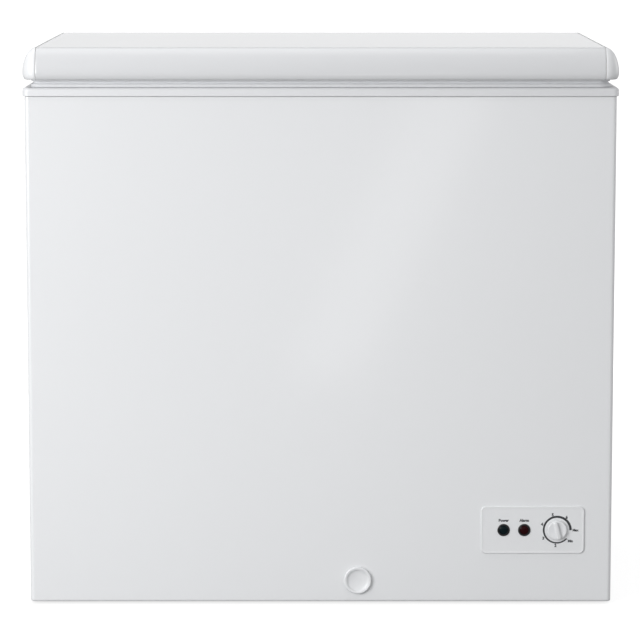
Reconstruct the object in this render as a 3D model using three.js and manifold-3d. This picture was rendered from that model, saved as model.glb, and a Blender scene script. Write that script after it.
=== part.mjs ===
// A 200 litre chest freezer: a foam-filled steel cabinet with a counterbalanced lid, a hanging wire basket,
// a drain at the front, and a compressor bay at the right-hand end behind the control panel.
// Millimetres. X runs to the right, Y to the back, Z up. The origin is on the floor under the middle.

import * as THREE from "three";
import { mergeVertices } from "three/addons/utils/BufferGeometryUtils.js";
import Module from "manifold-3d";

const wasm = await Module();
wasm.setup();

// ---------------------------------------------------------------- driving dimensions

const overall = { width: 900, depth: 560, height: 856 };
const gap = 0.3; // between pieces that touch on the real object
const clearance = 0.5; // between pieces that slide or turn

const foot = { height: 4, radius: 16, shankRadius: 5, shankTop: 12, insetX: 47, insetY: 42 };
const skin = { thickness: 1, cornerRadius: 6, flange: 14 };
const beadOverhang = 3; // how far the top frame stands out past the skin
const lidOverhang = 12; // how far the lid stands out in front of the skin
const hingeReach = 24; // depth kept behind the cabinet for the hinges
const wall = 58; // skin to liner, foam included
const liner = { thickness: 1.5, cornerRadius: 28, floor: 75, shelfDrop: 26 };
const frame = { height: 13, thickness: 2.2, ledgeSetBack: 8, ledgeWidth: 10, ledgeDrop: 20 };
const gasket = { height: 12, width: 16, inset: 12 };
const lid = { height: 48, shoulder: 38, roll: 21, underRoll: 5, skin: 1.5, capLength: 21, planeRadius: 1 };
const lidPan = { depth: 20, inset: 17 };
const bay = { width: 220, top: 270, sheet: 0.8, insulation: 55 };
const panel = {
  width: 159,
  height: 74,
  centreZ: 117,
  proud: 2.4,
  cornerRadius: 8,
  lip: 6,
  depth: 8,
  offCentre: -10.5,
};
const lamp = { radius: 9, stemRadius: 7.2, fromCentre: -44.5, pitch: 31.7 };
const knob = {
  radius: 15.2,
  base: 4,
  grip: 4.6,
  gripWidth: 7,
  fromCentre: 37.5,
  shaftRadius: 3,
  turnedBy: 14,
};
const drain = {
  x: 57,
  z: 38,
  fromFront: 40,
  tubeRadius: 12,
  tubeBore: 10,
  capRadius: 21.5,
  plugRadius: 18,
};
const evaporator = { radius: 4, loops: 5, endMargin: 52 };
const condenser = { radius: 3, firstZ: 190, topMargin: 213 };
const hinge = {
  fromSide: 147,
  innerWidth: 26,
  sheet: 1.5,
  pinRadius: 3,
  pinBack: 12,
  pinUp: 6,
  length: 122,
  depth: 20,
};
const cam = { radius: 12, fall: 3.5 }; // fall in millimetres for each radian that the lid turns
const basket = {
  width: 220,
  depth: 190,
  frameWire: 2.5,
  wire: 1.5,
  acrossCount: 8,
  alongCount: 3,
  gapToWall: 9,
};

// ---------------------------------------------------------------- places worked out from them

const halfWidth = overall.width / 2;
const lidFront = -overall.depth / 2;
const skinX = halfWidth - beadOverhang;
const skinFront = lidFront + lidOverhang;
const skinBack = overall.depth / 2 - hingeReach;
const lidBottom = overall.height - lid.height;
const frameTop = lidBottom - gasket.height;
const skinTop = frameTop - frame.height;
const skinBottom = foot.height;
const insideX = skinX - skin.thickness - gap; // what fills the skin
const insideFront = skinFront + skin.thickness + gap;
const panelBack = skinBack - skin.thickness - gap; // rear face of the back panel
const insideBack = panelBack - skin.thickness - gap;
const floorTop = skinBottom + 1 + skin.thickness; // upper face of the base pan
const linerTop = frameTop - liner.shelfDrop;
const beyond = 2 * (overall.width + overall.depth + overall.height); // clear of everything
const tub = { x: skinX - wall, front: skinFront + wall, back: skinBack - wall };
const bayX = skinX - skin.thickness - bay.width; // inner face of the bay's side wall
const step = { x: bayX - bay.insulation, top: bay.top + bay.insulation };
const ledge = { z: frameTop - frame.ledgeDrop, outer: wall - frame.ledgeSetBack };
ledge.inner = ledge.outer + frame.ledgeWidth; // both counted inwards from the skin
const bayCentre = bayX + bay.width / 2;
const panelX = bayCentre + panel.offCentre;
const knobX = panelX + knob.fromCentre;

// ---------------------------------------------------------------- materials

const material = (color, roughness, metalness = 0) =>
  new THREE.MeshStandardMaterial({ color, roughness, metalness });
const whitePaint = material(0xe9eaec, 0.35);
const whitePlastic = material(0xeeeff0, 0.45);
const linerPaint = material(0xf1f2f2, 0.4);
const galvanised = material(0xb4b8ba, 0.45, 0.9);
const foam = material(0xe6d9a8, 0.95);
const greyRubber = material(0xc9cbcf, 0.8);
const blackRubber = material(0x26262a, 0.85);
const copper = material(0xb8734a, 0.35, 1);
const blackPaint = material(0x1c1d1f, 0.4);
const blackPlastic = material(0x202124, 0.5);
const greenLens = material(0x0c2422, 0.15);
const redLens = material(0x2a0a0c, 0.15);
const zincSteel = material(0xc4c7c9, 0.3, 1);
const coatedWire = material(0xf0f0ee, 0.35);

// ---------------------------------------------------------------- outlines and solids

// n + 1 points along an arc.
const arc = (cx, cy, r, from, to, n) =>
  Array.from({ length: n + 1 }, (_, i) => {
    const a = from + ((to - from) * i) / n;
    return new THREE.Vector2(cx + r * Math.cos(a), cy + r * Math.sin(a));
  });

// A closed rectangle outline with round corners, anticlockwise.
function roundedRect(x0, x1, y0, y1, r = 0, n = 4) {
  if (r <= 0) return [[x0, y0], [x1, y0], [x1, y1], [x0, y1]].map((p) => new THREE.Vector2(...p));
  const q = Math.PI / 2;
  return [
    ...arc(x0 + r, y0 + r, r, 2 * q, 3 * q, n),
    ...arc(x1 - r, y0 + r, r, 3 * q, 4 * q, n),
    ...arc(x1 - r, y1 - r, r, 0, q, n),
    ...arc(x0 + r, y1 - r, r, q, 2 * q, n),
  ];
}

const circle = (cx, cy, r, n = 16) => arc(cx, cy, r, 0, 2 * Math.PI, n).slice(0, n);
const vectors = (pairs) => pairs.map((p) => new THREE.Vector2(...p));

function shapeOf(outline, holes = []) {
  const shape = new THREE.Shape(outline);
  shape.holes = holes.map((h) => new THREE.Path(h));
  return shape;
}

// Prisms: the outline lies in the plane across the named axis, and the solid runs between two places
// on that axis.
const axisX = new THREE.Vector3(1, 0, 0);
const axisY = new THREE.Vector3(0, 1, 0);
const axisZ = new THREE.Vector3(0, 0, 1);
const extruded = (outline, length, holes) =>
  new THREE.ExtrudeGeometry(shapeOf(outline, holes), { depth: length, bevelEnabled: false });
const prismZ = (outline, z0, z1, holes) => extruded(outline, z1 - z0, holes).translate(0, 0, z0);
const prismX = (outline, x0, x1, holes) =>
  extruded(outline, x1 - x0, holes)
    .applyMatrix4(new THREE.Matrix4().makeBasis(axisY, axisZ, axisX))
    .translate(x0, 0, 0);
const prismY = (outline, y0, y1, holes) =>
  extruded(outline, y1 - y0, holes)
    .applyMatrix4(new THREE.Matrix4().makeBasis(axisX, axisZ, axisY.clone().negate()))
    .translate(0, y1, 0);
const box = (x0, x1, y0, y1, z0, z1) =>
  new THREE.BoxGeometry(x1 - x0, y1 - y0, z1 - z0).translate((x0 + x1) / 2, (y0 + y1) / 2, (z0 + z1) / 2);

// Turned pieces: the profile is [radius, distance along the axis], from the axis round to the axis.
const turned = (profile, n) => new THREE.LatheGeometry(vectors(profile), n);
const turnedUp = (profile, n = 20) => turned(profile, n).rotateX(Math.PI / 2);
const turnedForward = (profile, n = 20) => turned(profile, n).rotateX(Math.PI); // axis towards the front

// A curve through listed points, with a section at each point, so that bends stay where they are drawn.
class Route extends THREE.Curve {
  constructor(points) {
    super();
    this.points = points;
  }
  getPoint(t, target = new THREE.Vector3()) {
    const at = t * (this.points.length - 1);
    const i = Math.min(Math.floor(at), this.points.length - 2);
    return target.copy(this.points[i]).lerp(this.points[i + 1], at - i);
  }
  getPointAt(u, target) {
    return this.getPoint(u, target);
  }
  getTangentAt(u, target = new THREE.Vector3()) {
    const last = this.points.length - 1;
    const i = Math.round(u * last);
    const before = this.points[Math.max(i - 1, 0)];
    const after = this.points[Math.min(i + 1, last)];
    const here = this.points[i];
    const into = here.clone().sub(before).normalize();
    const out = after.clone().sub(here).normalize();
    return target.copy(into.add(out)).normalize();
  }
}

// The points of a bent tube: straight runs between the corners, and a round bend of radius r at each.
function bent(corners, r, n = 3) {
  const points = corners.map((c) => new THREE.Vector3(...c));
  const route = [points[0]];
  for (let i = 1; i < points.length - 1; i++) {
    const [a, b, c] = [points[i - 1], points[i], points[i + 1]];
    const into = a.clone().sub(b).normalize();
    const out = c.clone().sub(b).normalize();
    const half = into.angleTo(out) / 2;
    const reach = Math.min(r / Math.tan(half), 0.45 * a.distanceTo(b), 0.45 * b.distanceTo(c));
    const start = b.clone().addScaledVector(into, reach);
    const end = b.clone().addScaledVector(out, reach);
    const bend = new THREE.QuadraticBezierCurve3(start, b, end);
    route.push(...bend.getPoints(n));
  }
  route.push(points.at(-1));
  return route;
}

const tube = (route, r, sides = 6) =>
  new THREE.ExtrudeGeometry(shapeOf(circle(0, 0, r, sides)), {
    steps: route.length - 1,
    bevelEnabled: false,
    extrudePath: new Route(route),
  });

// Joins and cuts, on closed meshes whose shared vertices are merged.
function solidOf(geometry) {
  const bare = geometry.clone();
  bare.deleteAttribute("normal");
  bare.deleteAttribute("uv");
  const merged = mergeVertices(bare, 1e-4);
  return new wasm.Manifold(
    new wasm.Mesh({
      numProp: 3,
      vertProperties: merged.attributes.position.array,
      triVerts: new Uint32Array(merged.index.array),
    }),
  );
}

function geometryOf(solid) {
  const mesh = solid.getMesh();
  const geometry = new THREE.BufferGeometry();
  geometry.setAttribute("position", new THREE.BufferAttribute(mesh.vertProperties, 3));
  geometry.setIndex(new THREE.BufferAttribute(mesh.triVerts, 1));
  geometry.computeVertexNormals();
  return geometry;
}

const join = (...pieces) => geometryOf(pieces.map(solidOf).reduce((a, b) => a.add(b)));
const cut = (piece, ...tools) =>
  geometryOf(tools.map(solidOf).reduce((a, b) => a.subtract(b), solidOf(piece)));
const keep = (piece, region) => geometryOf(solidOf(piece).intersect(solidOf(region)));

const freezer = new THREE.Group();
const lidGroup = new THREE.Group();
freezer.add(lidGroup);

function add(name, geometry, finish, parent = freezer) {
  const mesh = new THREE.Mesh(geometry, finish);
  mesh.name = name;
  parent.add(mesh);
  return mesh;
}

// ---------------------------------------------------------------- cabinet skin, back panel and base

const drainHoleRadius = drain.tubeRadius + 2;
const drainHole = turnedForward([[0, -9], [drainHoleRadius, -9], [drainHoleRadius, 9], [0, 9]], 20)
  .translate(drain.x, skinFront, drain.z);

const panelBox = (grow) =>
  roundedRect(
    panelX - panel.width / 2 - grow,
    panelX + panel.width / 2 + grow,
    panel.centreZ - panel.height / 2 - grow,
    panel.centreZ + panel.height / 2 + grow,
    Math.max(panel.cornerRadius + grow, 1),
    3,
  );

const vent = { length: 160, fromBack: 36, bottom: 60, fromBayTop: 70, frame: 8, slats: 9 };
vent.back = skinBack - vent.fromBack;
vent.front = vent.back - vent.length;
vent.top = bay.top - vent.fromBayTop;
const ventBox = (grow) =>
  roundedRect(vent.front - grow, vent.back + grow, vent.bottom - grow, vent.top + grow, 0);

// One sheet bent round the front and both sides, with flanges turned in at the back.
function skinOutline() {
  const q = Math.PI / 2;
  const side = (x, front, back, r) => [
    new THREE.Vector2(-x, back),
    ...arc(-x + r, front + r, r, 2 * q, 3 * q, 4),
    ...arc(x - r, front + r, r, 3 * q, 4 * q, 4),
    new THREE.Vector2(x, back),
  ];
  const inner = side(
    skinX - skin.thickness,
    skinFront + skin.thickness,
    skinBack - skin.thickness,
    skin.cornerRadius - skin.thickness,
  );
  const flangeEnd = skinX - skin.flange;
  return [
    new THREE.Vector2(-flangeEnd, skinBack),
    ...side(skinX, skinFront, skinBack, skin.cornerRadius),
    new THREE.Vector2(flangeEnd, skinBack),
    new THREE.Vector2(flangeEnd, skinBack - skin.thickness),
    ...inner.reverse(),
    new THREE.Vector2(-flangeEnd, skinBack - skin.thickness),
  ];
}

add(
  "outer_shell",
  cut(
    prismZ(skinOutline(), skinBottom, skinTop - gap),
    prismY(panelBox(-panel.lip + 1), skinFront - 5, skinFront + 5),
    prismX(ventBox(0), skinX - 5, skinX + 5),
    drainHole,
  ),
  whitePaint,
);

add(
  "back_panel",
  prismY(
    vectors([
      [-insideX, skinBottom + 1],
      [bayX - 1, skinBottom + 1],
      [bayX - 1, bay.top + 1],
      [insideX, bay.top + 1],
      [insideX, skinTop - 1],
      [-insideX, skinTop - 1],
    ]),
    panelBack - skin.thickness,
    panelBack,
  ),
  whitePaint,
);

// What fits inside the skin, between its two round front corners.
const insideSkin = (piece) =>
  keep(
    piece,
    prismZ(
      roundedRect(
        -insideX,
        insideX,
        insideFront,
        overall.depth,
        skin.cornerRadius - skin.thickness - gap,
        4,
      ),
      0,
      overall.height,
    ),
  );

const footAt = [-1, 1].flatMap((side) =>
  [
    ["front", skinFront + foot.insetY],
    ["rear", skinBack - foot.insetY],
  ].map(([row, y]) => ({
    name: `foot_${row}_${side < 0 ? "left" : "right"}`,
    x: side * (skinX - foot.insetX),
    y,
  })),
);
const upright = (x, y, r, z0, z1, n = 16) =>
  turnedUp([[0, z0], [r, z0], [r, z1], [0, z1]], n).translate(x, y, 0);
const footHole = ({ x, y }) => upright(x, y, foot.shankRadius + gap, 0, foot.shankTop + 1);

// A flat pan with a lip turned up along each side.
const panZ = skinBottom + 1;
const lipHeight = 20;
const pan = (x0, x1, thickness, grow = 0) =>
  join(
    box(x0, x1, insideFront, insideBack, panZ, panZ + thickness),
    box(x0 - grow, x0 + thickness + grow, insideFront, insideBack, panZ, panZ + lipHeight + grow),
    box(x1 - thickness - grow, x1 + grow, insideFront, insideBack, panZ, panZ + lipHeight + grow),
  );
const basePan = (grow) => pan(-insideX, bayX - bay.sheet - gap, skin.thickness, grow);
const trayPan = pan(bayX + gap, insideX, skin.thickness * 1.5);
const trayTop = panZ + skin.thickness * 1.5;
add("base_pan", insideSkin(cut(basePan(0), ...footAt.slice(0, 2).map(footHole))), galvanised);
add("compressor_tray", insideSkin(cut(trayPan, ...footAt.slice(2).map(footHole))), galvanised);

for (const at of footAt) {
  const shankBottom = foot.height + 1 - gap;
  add(
    at.name,
    turnedUp(
      [
        [0, 0],
        [foot.radius - 2, 0],
        [foot.radius, 2],
        [foot.radius - 1, shankBottom],
        [foot.shankRadius, shankBottom],
        [foot.shankRadius - 0.8, foot.shankTop],
        [0, foot.shankTop],
      ],
      16,
    ),
    blackPlastic,
  ).position.set(at.x, at.y, 0);
}

// ---------------------------------------------------------------- liner, drain and foam

const tubOutline = (grow) =>
  roundedRect(
    -tub.x - grow,
    tub.x + grow,
    tub.front - grow,
    tub.back + grow,
    liner.cornerRadius + grow,
    3,
  );

// The tub with its step over the compressor bay, grown outwards by a wall.
function tubSolid(grow, top) {
  return cut(
    prismZ(tubOutline(grow), liner.floor - grow, top),
    box(step.x + grow, beyond, -beyond, beyond, -beyond, step.top - grow),
  );
}

const drainY = tub.front + drain.fromFront;
const drainFloorHole = (r, bottom, top) =>
  turnedUp([[0, bottom], [r, bottom], [r, top], [0, top]], 16).translate(drain.x, drainY, 0);

add(
  "inner_liner",
  cut(
    tubSolid(liner.thickness, linerTop),
    tubSolid(0, linerTop + 10),
    drainFloorHole(drain.tubeRadius + 2, liner.floor - 5, liner.floor + 5),
  ),
  linerPaint,
);

// The drain runs down from the tub's floor, then forward to the front of the cabinet.
const drainRoute = bent(
  [
    [drain.x, drainY, liner.floor - 2],
    [drain.x, drainY, drain.z],
    [drain.x, skinFront + 1, drain.z],
  ],
  22,
  4,
);
const stretched = (route, by) => {
  const ends = route.map((p) => p.clone());
  const [a, b] = [ends[0], ends[1]];
  a.addScaledVector(a.clone().sub(b).normalize(), by);
  const [c, d] = [ends.at(-1), ends.at(-2)];
  c.addScaledVector(c.clone().sub(d).normalize(), by);
  return ends;
};
add(
  "drain_tube",
  cut(tube(drainRoute, drain.tubeRadius, 12), tube(stretched(drainRoute, 5), drain.tubeBore, 12)),
  whitePlastic,
);

add(
  "drain_plug",
  turnedUp(
    [
      [0, -16],
      [drain.tubeBore - 1.6, -16],
      [drain.tubeBore - 0.8, -2],
      [drain.tubeBore - 0.8, gap],
      [drain.plugRadius, gap],
      [drain.plugRadius, 2.5],
      [drain.plugRadius - 2, 3.5],
      [5, 4],
      [4, 10],
      [0, 11],
    ],
    20,
  ),
  greyRubber,
).position.set(drain.x, drainY, liner.floor);

add(
  "drain_cap",
  turnedForward(
    [
      [0, -18],
      [drain.tubeBore - 1.6, -18],
      [drain.tubeBore - 0.8, -1],
      [drain.tubeBore - 0.8, gap],
      [drain.capRadius, gap],
      [drain.capRadius, 2.2],
      [drain.capRadius - 1.2, 4.4],
      [drain.capRadius - 3.2, 5],
      [drain.capRadius - 5, 4.2],
      [drain.capRadius - 9, 2.2],
      [0, 1.4],
    ],
    28,
  ),
  whitePlastic,
).position.set(drain.x, skinFront, drain.z);

// ---------------------------------------------------------------- refrigerant circuit in the walls

// The evaporator winds down round the outside of the liner, above the step, and both tails drop into
// the bay.
const evapOff = liner.thickness + evaporator.radius + 0.8;
const evapRear = tub.back + evapOff;
const evapTail = { y: evapRear + 3 * evaporator.radius, inX: bayX + 70, outX: bayX + 110, z: bay.top - 22 };
const evapTop = linerTop - evaporator.endMargin;
const evapPitch = (evapTop - step.top - evaporator.endMargin) / (evaporator.loops - 1);
function evaporatorRoute() {
  const x = tub.x + evapOff;
  const front = tub.front - evapOff;
  const lastZ = evapTop - (evaporator.loops - 1) * evapPitch;
  const corners = [
    [evapTail.inX, evapTail.y, evapTail.z],
    [evapTail.inX, evapTail.y, evapTop - 20],
    [evapTail.inX - 20, evapRear, evapTop],
  ];
  for (let i = 0; i < evaporator.loops; i++) {
    const z = evapTop - i * evapPitch;
    corners.push([-x, evapRear, z], [-x, front, z], [x, front, z], [x, evapRear, z]);
    if (i < evaporator.loops - 1) {
      corners.push([x - 60, evapRear, z], [x - 100, evapRear, z - evapPitch]);
    }
  }
  corners.push(
    [evapTail.outX, evapRear, lastZ],
    [evapTail.outX, evapTail.y, lastZ - 30],
    [evapTail.outX, evapTail.y, evapTail.z],
  );
  return bent(corners, 24, 2);
}

// The condenser is bonded to the inside of the skin, round the front, the left side and the back.
const condOff = 0.5 + condenser.radius;
const condPitch = (skinTop - condenser.topMargin - condenser.firstZ) / 2;
const driedAt = { x: bayX + 42, y: insideBack - 40, bottom: bay.top - 120, top: bay.top - 38 };
const condenserInlet = [bayX + 70, insideFront + condOff + 14, condenser.firstZ];
function condenserRoute() {
  const left = -(insideX - condOff);
  const front = insideFront + condOff;
  const back = insideBack - condOff;
  const turnX = [bayX - 20, skinX - 40];
  const [a, b, c] = [0, 1, 2].map((i) => condenser.firstZ + i * condPitch);
  const dropX = driedAt.x - 20;
  return bent(
    [
      condenserInlet,
      [bayX + 30, front, a],
      [left, front, a],
      [left, back, a],
      [turnX[0], back, a],
      [turnX[0], back, b],
      [left, back, b],
      [left, front, b],
      [turnX[1], front, b],
      [turnX[1], front, c],
      [left, front, c],
      [left, back, c],
      [dropX, back, c],
      [dropX, back, 110],
      [driedAt.x, driedAt.y, 96],
      [driedAt.x, driedAt.y, driedAt.bottom - gap],
    ],
    26,
    2,
  );
}
const evaporatorPath = evaporatorRoute();
const condenserPath = condenserRoute();
add("evaporator_tube", tube(evaporatorPath, evaporator.radius), copper);
add("condenser_tube", tube(condenserPath, condenser.radius), zincSteel);

// ---------------------------------------------------------------- bay wall and foam

const sensor = { x: bayX + 60, y: insideFront + 112, radius: 3.2, hole: 5 };
const channel = (route, r) => tube(stretched(route, 2), r * 1.5 + 1.2, 4);
const evaporatorChannel = channel(evaporatorPath, evaporator.radius);
const condenserChannel = channel(condenserPath, condenser.radius);
const sensorHole = upright(sensor.x, sensor.y, sensor.hole, bay.top - 5, step.top - 4);

add(
  "machine_bay_wall",
  insideSkin(
    cut(
      join(
        box(bayX - bay.sheet, bayX, insideFront, insideBack, panZ, bay.top),
        box(bayX - bay.sheet, insideX, insideFront, insideBack, bay.top, bay.top + bay.sheet),
      ),
      sensorHole,
      evaporatorChannel,
      condenserChannel,
    ),
  ),
  galvanised,
);

add(
  "cabinet_foam",
  insideSkin(
    cut(
      box(-insideX, insideX, insideFront, insideBack, floorTop + gap, linerTop - 2),
      tubSolid(liner.thickness + gap, linerTop + 10),
      box(bayX - bay.sheet - gap, beyond, -beyond, beyond, 0, bay.top + bay.sheet + gap),
      basePan(gap),
      evaporatorChannel,
      condenserChannel,
      sensorHole,
      tube(stretched(drainRoute, 5), drain.tubeRadius + 1, 12),
      ...footAt.slice(0, 2).map(footHole),
    ),
  ),
  foam,
);

// ---------------------------------------------------------------- top frame round the mouth

// A band between two rectangles, each given as how far it lies inside the skin.
function band(outside, inside, z0, z1, radius = 0) {
  const rect = (u, rear, r) => roundedRect(-skinX + u, skinX - u, skinFront + u, skinBack - rear, r, 3);
  const hole = rect(inside, Math.max(inside, frame.thickness), Math.max(radius - (inside - outside), 0));
  return prismZ(rect(outside, Math.max(outside, 0), radius), z0, z1, [hole.reverse()]);
}
add(
  "top_frame",
  join(
    band(-beadOverhang, ledge.outer, frameTop - frame.thickness, frameTop, 8),
    band(-beadOverhang, frame.thickness - beadOverhang + 0.6, skinTop, frameTop, 8),
    band(ledge.outer - frame.thickness, ledge.outer, ledge.z - frame.thickness, frameTop),
    band(ledge.outer - frame.thickness, ledge.inner, ledge.z - frame.thickness, ledge.z),
    band(ledge.inner - frame.thickness, ledge.inner, linerTop + gap, ledge.z),
  ),
  whitePlastic,
);

// ---------------------------------------------------------------- control panel

const shaftY = skinFront - panel.proud;
const panelHole = (x, r) =>
  turnedForward([[0, -12], [r, -12], [r, 12], [0, 12]], 20).translate(x, skinFront, panel.centreZ);
const lampX = [0, lamp.pitch].map((x) => panelX + lamp.fromCentre + x);
const holderFront = skinFront + panel.depth;
const statHalf = 29; // half the width of the thermostat's fixing plate
const holderEnd = 18; // how far the lamp holder runs past each lamp
const postAt = [
  lampX[0] - holderEnd + 4,
  lampX[1] + holderEnd - 4,
  knobX - statHalf + 4,
  knobX + statHalf - 4,
];

add(
  "control_panel",
  cut(
    join(
      prismY(panelBox(0), skinFront - panel.proud, skinFront - gap),
      prismY(panelBox(-panel.lip), skinFront - panel.proud + 1, holderFront - 1, [
        panelBox(-panel.lip - 2).reverse(),
      ]),
      ...postAt.map((x) => prismY(circle(x, panel.centreZ, 3.2, 10), skinFront - 1, holderFront - gap)),
    ),
    ...lampX.map((x) => panelHole(x, lamp.stemRadius + gap)),
    panelHole(knobX, knob.shaftRadius + 1),
  ),
  whitePlastic,
);

const lens = () =>
  turnedForward(
    [
      [0, -panel.proud - 6],
      [lamp.stemRadius, -panel.proud - 6],
      [lamp.stemRadius, gap],
      [lamp.radius, gap],
      [lamp.radius, 0.9],
      [lamp.radius * 0.7, 1.9],
      [0, 2.4],
    ],
    24,
  );
add("power_lamp_lens", lens(), greenLens).position.set(lampX[0], shaftY, panel.centreZ);
add("alarm_lamp_lens", lens(), redLens).position.set(lampX[1], shaftY, panel.centreZ);

// Both neon lamps sit in one moulded holder behind the panel, with a pair of blade terminals each.
const blade = (x, z) => box(x - 3.2, x + 3.2, holderFront + 14, holderFront + 24, z - 0.4, z + 0.4);
add(
  "lamp_holder",
  join(
    prismY(
      roundedRect(lampX[0] - holderEnd, lampX[1] + holderEnd, panel.centreZ - 12, panel.centreZ + 12, 4, 2),
      holderFront,
      holderFront + 15,
    ),
    ...lampX.flatMap((x) => [blade(x, panel.centreZ - 5), blade(x, panel.centreZ + 5)]),
  ),
  blackPlastic,
);

const statBack = holderFront + 34;
add(
  "thermostat_body",
  cut(
    join(
      box(knobX - 20, knobX + 20, holderFront + 1, statBack, panel.centreZ - 16, panel.centreZ + 18),
      box(
        knobX - statHalf,
        knobX + statHalf,
        holderFront,
        holderFront + 2,
        panel.centreZ - 9,
        panel.centreZ + 9,
      ),
      box(knobX - 14, knobX - 8, statBack - 1, statBack + 9, panel.centreZ - 6, panel.centreZ - 5),
      box(knobX + 2, knobX + 8, statBack - 1, statBack + 9, panel.centreZ - 6, panel.centreZ - 5),
    ),
    turnedForward([[0, -24], [4, -24], [4, 5], [0, 5]], 12).translate(knobX, holderFront, panel.centreZ),
  ),
  galvanised,
);

const shaftLength = 22;
const shaftFront = shaftY - knob.base - 1.5;
add(
  "thermostat_shaft",
  prismY(
    [...arc(0, 0, knob.shaftRadius, Math.PI * 0.75, Math.PI * 2.25, 12)],
    0,
    shaftLength,
  ),
  zincSteel,
).position.set(knobX, shaftFront, panel.centreZ);

const knobTurn = THREE.MathUtils.degToRad(knob.turnedBy);
const knobMesh = add(
  "thermostat_knob",
  cut(
    join(
      turnedForward(
        [
          [0, 0.6],
          [knob.radius, 0.6],
          [knob.radius, 1.8],
          [knob.radius - 1.4, knob.base],
          [0, knob.base],
        ],
        28,
      ),
      prismY(
        roundedRect(-knob.gripWidth / 2, knob.gripWidth / 2, -knob.radius + 1.6, knob.radius - 1.6, 3, 3),
        -knob.base - knob.grip,
        -knob.base + 1,
      ),
    ),
    turnedForward(
      [
        [0, -1],
        [knob.shaftRadius + gap, -1],
        [knob.shaftRadius + gap, knob.base + 2],
        [0, knob.base + 2],
      ],
      12,
    ),
  ),
  whitePlastic,
);
knobMesh.position.set(knobX, shaftY, panel.centreZ);
knobMesh.rotation.y = -knobTurn;

// The thermostat's capillary climbs the bay and ends in a bulb in the foam under the step.
add(
  "sensor_tube",
  join(
    tube(
      bent(
        [
          [knobX - 12, holderFront + 20, panel.centreZ + 18 + gap],
          [knobX - 12, holderFront + 20, bay.top - 70],
          [sensor.x, sensor.y, bay.top - 40],
          [sensor.x, sensor.y, bay.top + 10],
        ],
        30,
        3,
      ),
      1.2,
      5,
    ),
    upright(sensor.x, sensor.y, sensor.radius, bay.top + 6, step.top - 8),
  ),
  copper,
);

// ---------------------------------------------------------------- compressor bay

const compressor = { x: bayCentre + 8, y: insideBack - 118, rx: 64, ry: 56, seam: 104, top: 182, foot: 30 };
const oval = (profile) =>
  turnedUp(profile, 24).scale(1, compressor.ry / compressor.rx, 1).translate(compressor.x, compressor.y, 0);
const rx = compressor.rx;
add(
  "compressor_lower_shell",
  oval([
    [0, compressor.foot + 4],
    [rx * 0.55, compressor.foot + 4],
    [rx * 0.85, compressor.foot + 12],
    [rx * 0.97, compressor.foot + 30],
    [rx * 0.98, compressor.seam - gap],
    [0, compressor.seam - gap],
  ]),
  blackPaint,
);
add(
  "compressor_upper_shell",
  oval([
    [0, compressor.seam],
    [rx, compressor.seam],
    [rx, compressor.seam + 6],
    [rx * 0.96, compressor.seam + 9],
    [rx * 0.93, compressor.top - 36],
    [rx * 0.78, compressor.top - 14],
    [rx * 0.45, compressor.top - 3],
    [0, compressor.top],
  ]),
  blackPaint,
);

const mount = { x: bay.width / 2 - 32, y: 52, hole: 6.5, edge: 16 };
const mountAt = [-1, 1].flatMap((i) =>
  [-1, 1].map((j) => [compressor.x + i * mount.x, compressor.y + j * mount.y]),
);
const mountPlateTop = compressor.foot + 4 - gap;
add(
  "compressor_mount_plate",
  cut(
    prismZ(
      roundedRect(
        compressor.x - mount.x - mount.edge,
        compressor.x + mount.x + mount.edge,
        compressor.y - mount.y - mount.edge,
        compressor.y + mount.y + mount.edge,
        14,
        3,
      ),
      mountPlateTop - 3,
      mountPlateTop,
    ),
    ...mountAt.map(([x, y]) => upright(x, y, mount.hole, 0, 60)),
  ),
  blackPaint,
);
const waist = mountPlateTop - 3;
mountAt.forEach(([x, y], i) =>
  add(
    `compressor_grommet_${i + 1}`,
    turnedUp(
      [
        [0, trayTop + gap],
        [11, trayTop + gap],
        [12, waist - gap],
        [mount.hole - clearance, waist - gap],
        [mount.hole - clearance, mountPlateTop + gap],
        [9, mountPlateTop + gap],
        [8, mountPlateTop + 6],
        [0, mountPlateTop + 6],
      ],
      12,
    ),
    blackRubber,
  ).position.set(x, y, 0),
);

const relayBack = compressor.y - compressor.ry - gap;
add(
  "relay_cover",
  prismZ(
    roundedRect(compressor.x - 24, compressor.x + 24, relayBack - 32, relayBack, 6, 2),
    compressor.seam - 36,
    compressor.seam + 18,
  ),
  blackPlastic,
);

add(
  "filter_drier",
  turnedUp(
    [
      [0, driedAt.bottom],
      [4, driedAt.bottom],
      [9, driedAt.bottom + 12],
      [9, driedAt.top - 12],
      [3, driedAt.top],
      [0, driedAt.top],
    ],
    14,
  ).translate(driedAt.x, driedAt.y, 0),
  copper,
);

// A thin copper capillary, wound twice beside the drier, feeds the evaporator's inlet tail.
function capillaryRoute() {
  const turns = 2;
  const perTurn = 10;
  const coil = { r: 15, x: evapTail.inX, y: driedAt.y - 26, z: driedAt.top + 4, pitch: -7 };
  const start = new THREE.Vector3(driedAt.x, driedAt.y, driedAt.top + gap);
  const up = start.clone().add(new THREE.Vector3(0, 0, 8));
  const winding = Array.from({ length: turns * perTurn + 1 }, (_, i) => {
    const a = Math.PI / 2 + (2 * Math.PI * i) / perTurn;
    return new THREE.Vector3(
      coil.x + coil.r * Math.cos(a),
      coil.y + coil.r * Math.sin(a),
      coil.z + (coil.pitch * i) / perTurn,
    );
  });
  const end = new THREE.Vector3(evapTail.inX, evapTail.y, evapTail.z - gap);
  const under = end.clone().add(new THREE.Vector3(0, 0, -26));
  return [start, up, ...winding, under, end];
}
add("capillary_tube", tube(capillaryRoute(), 1.2, 5), copper);

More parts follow.
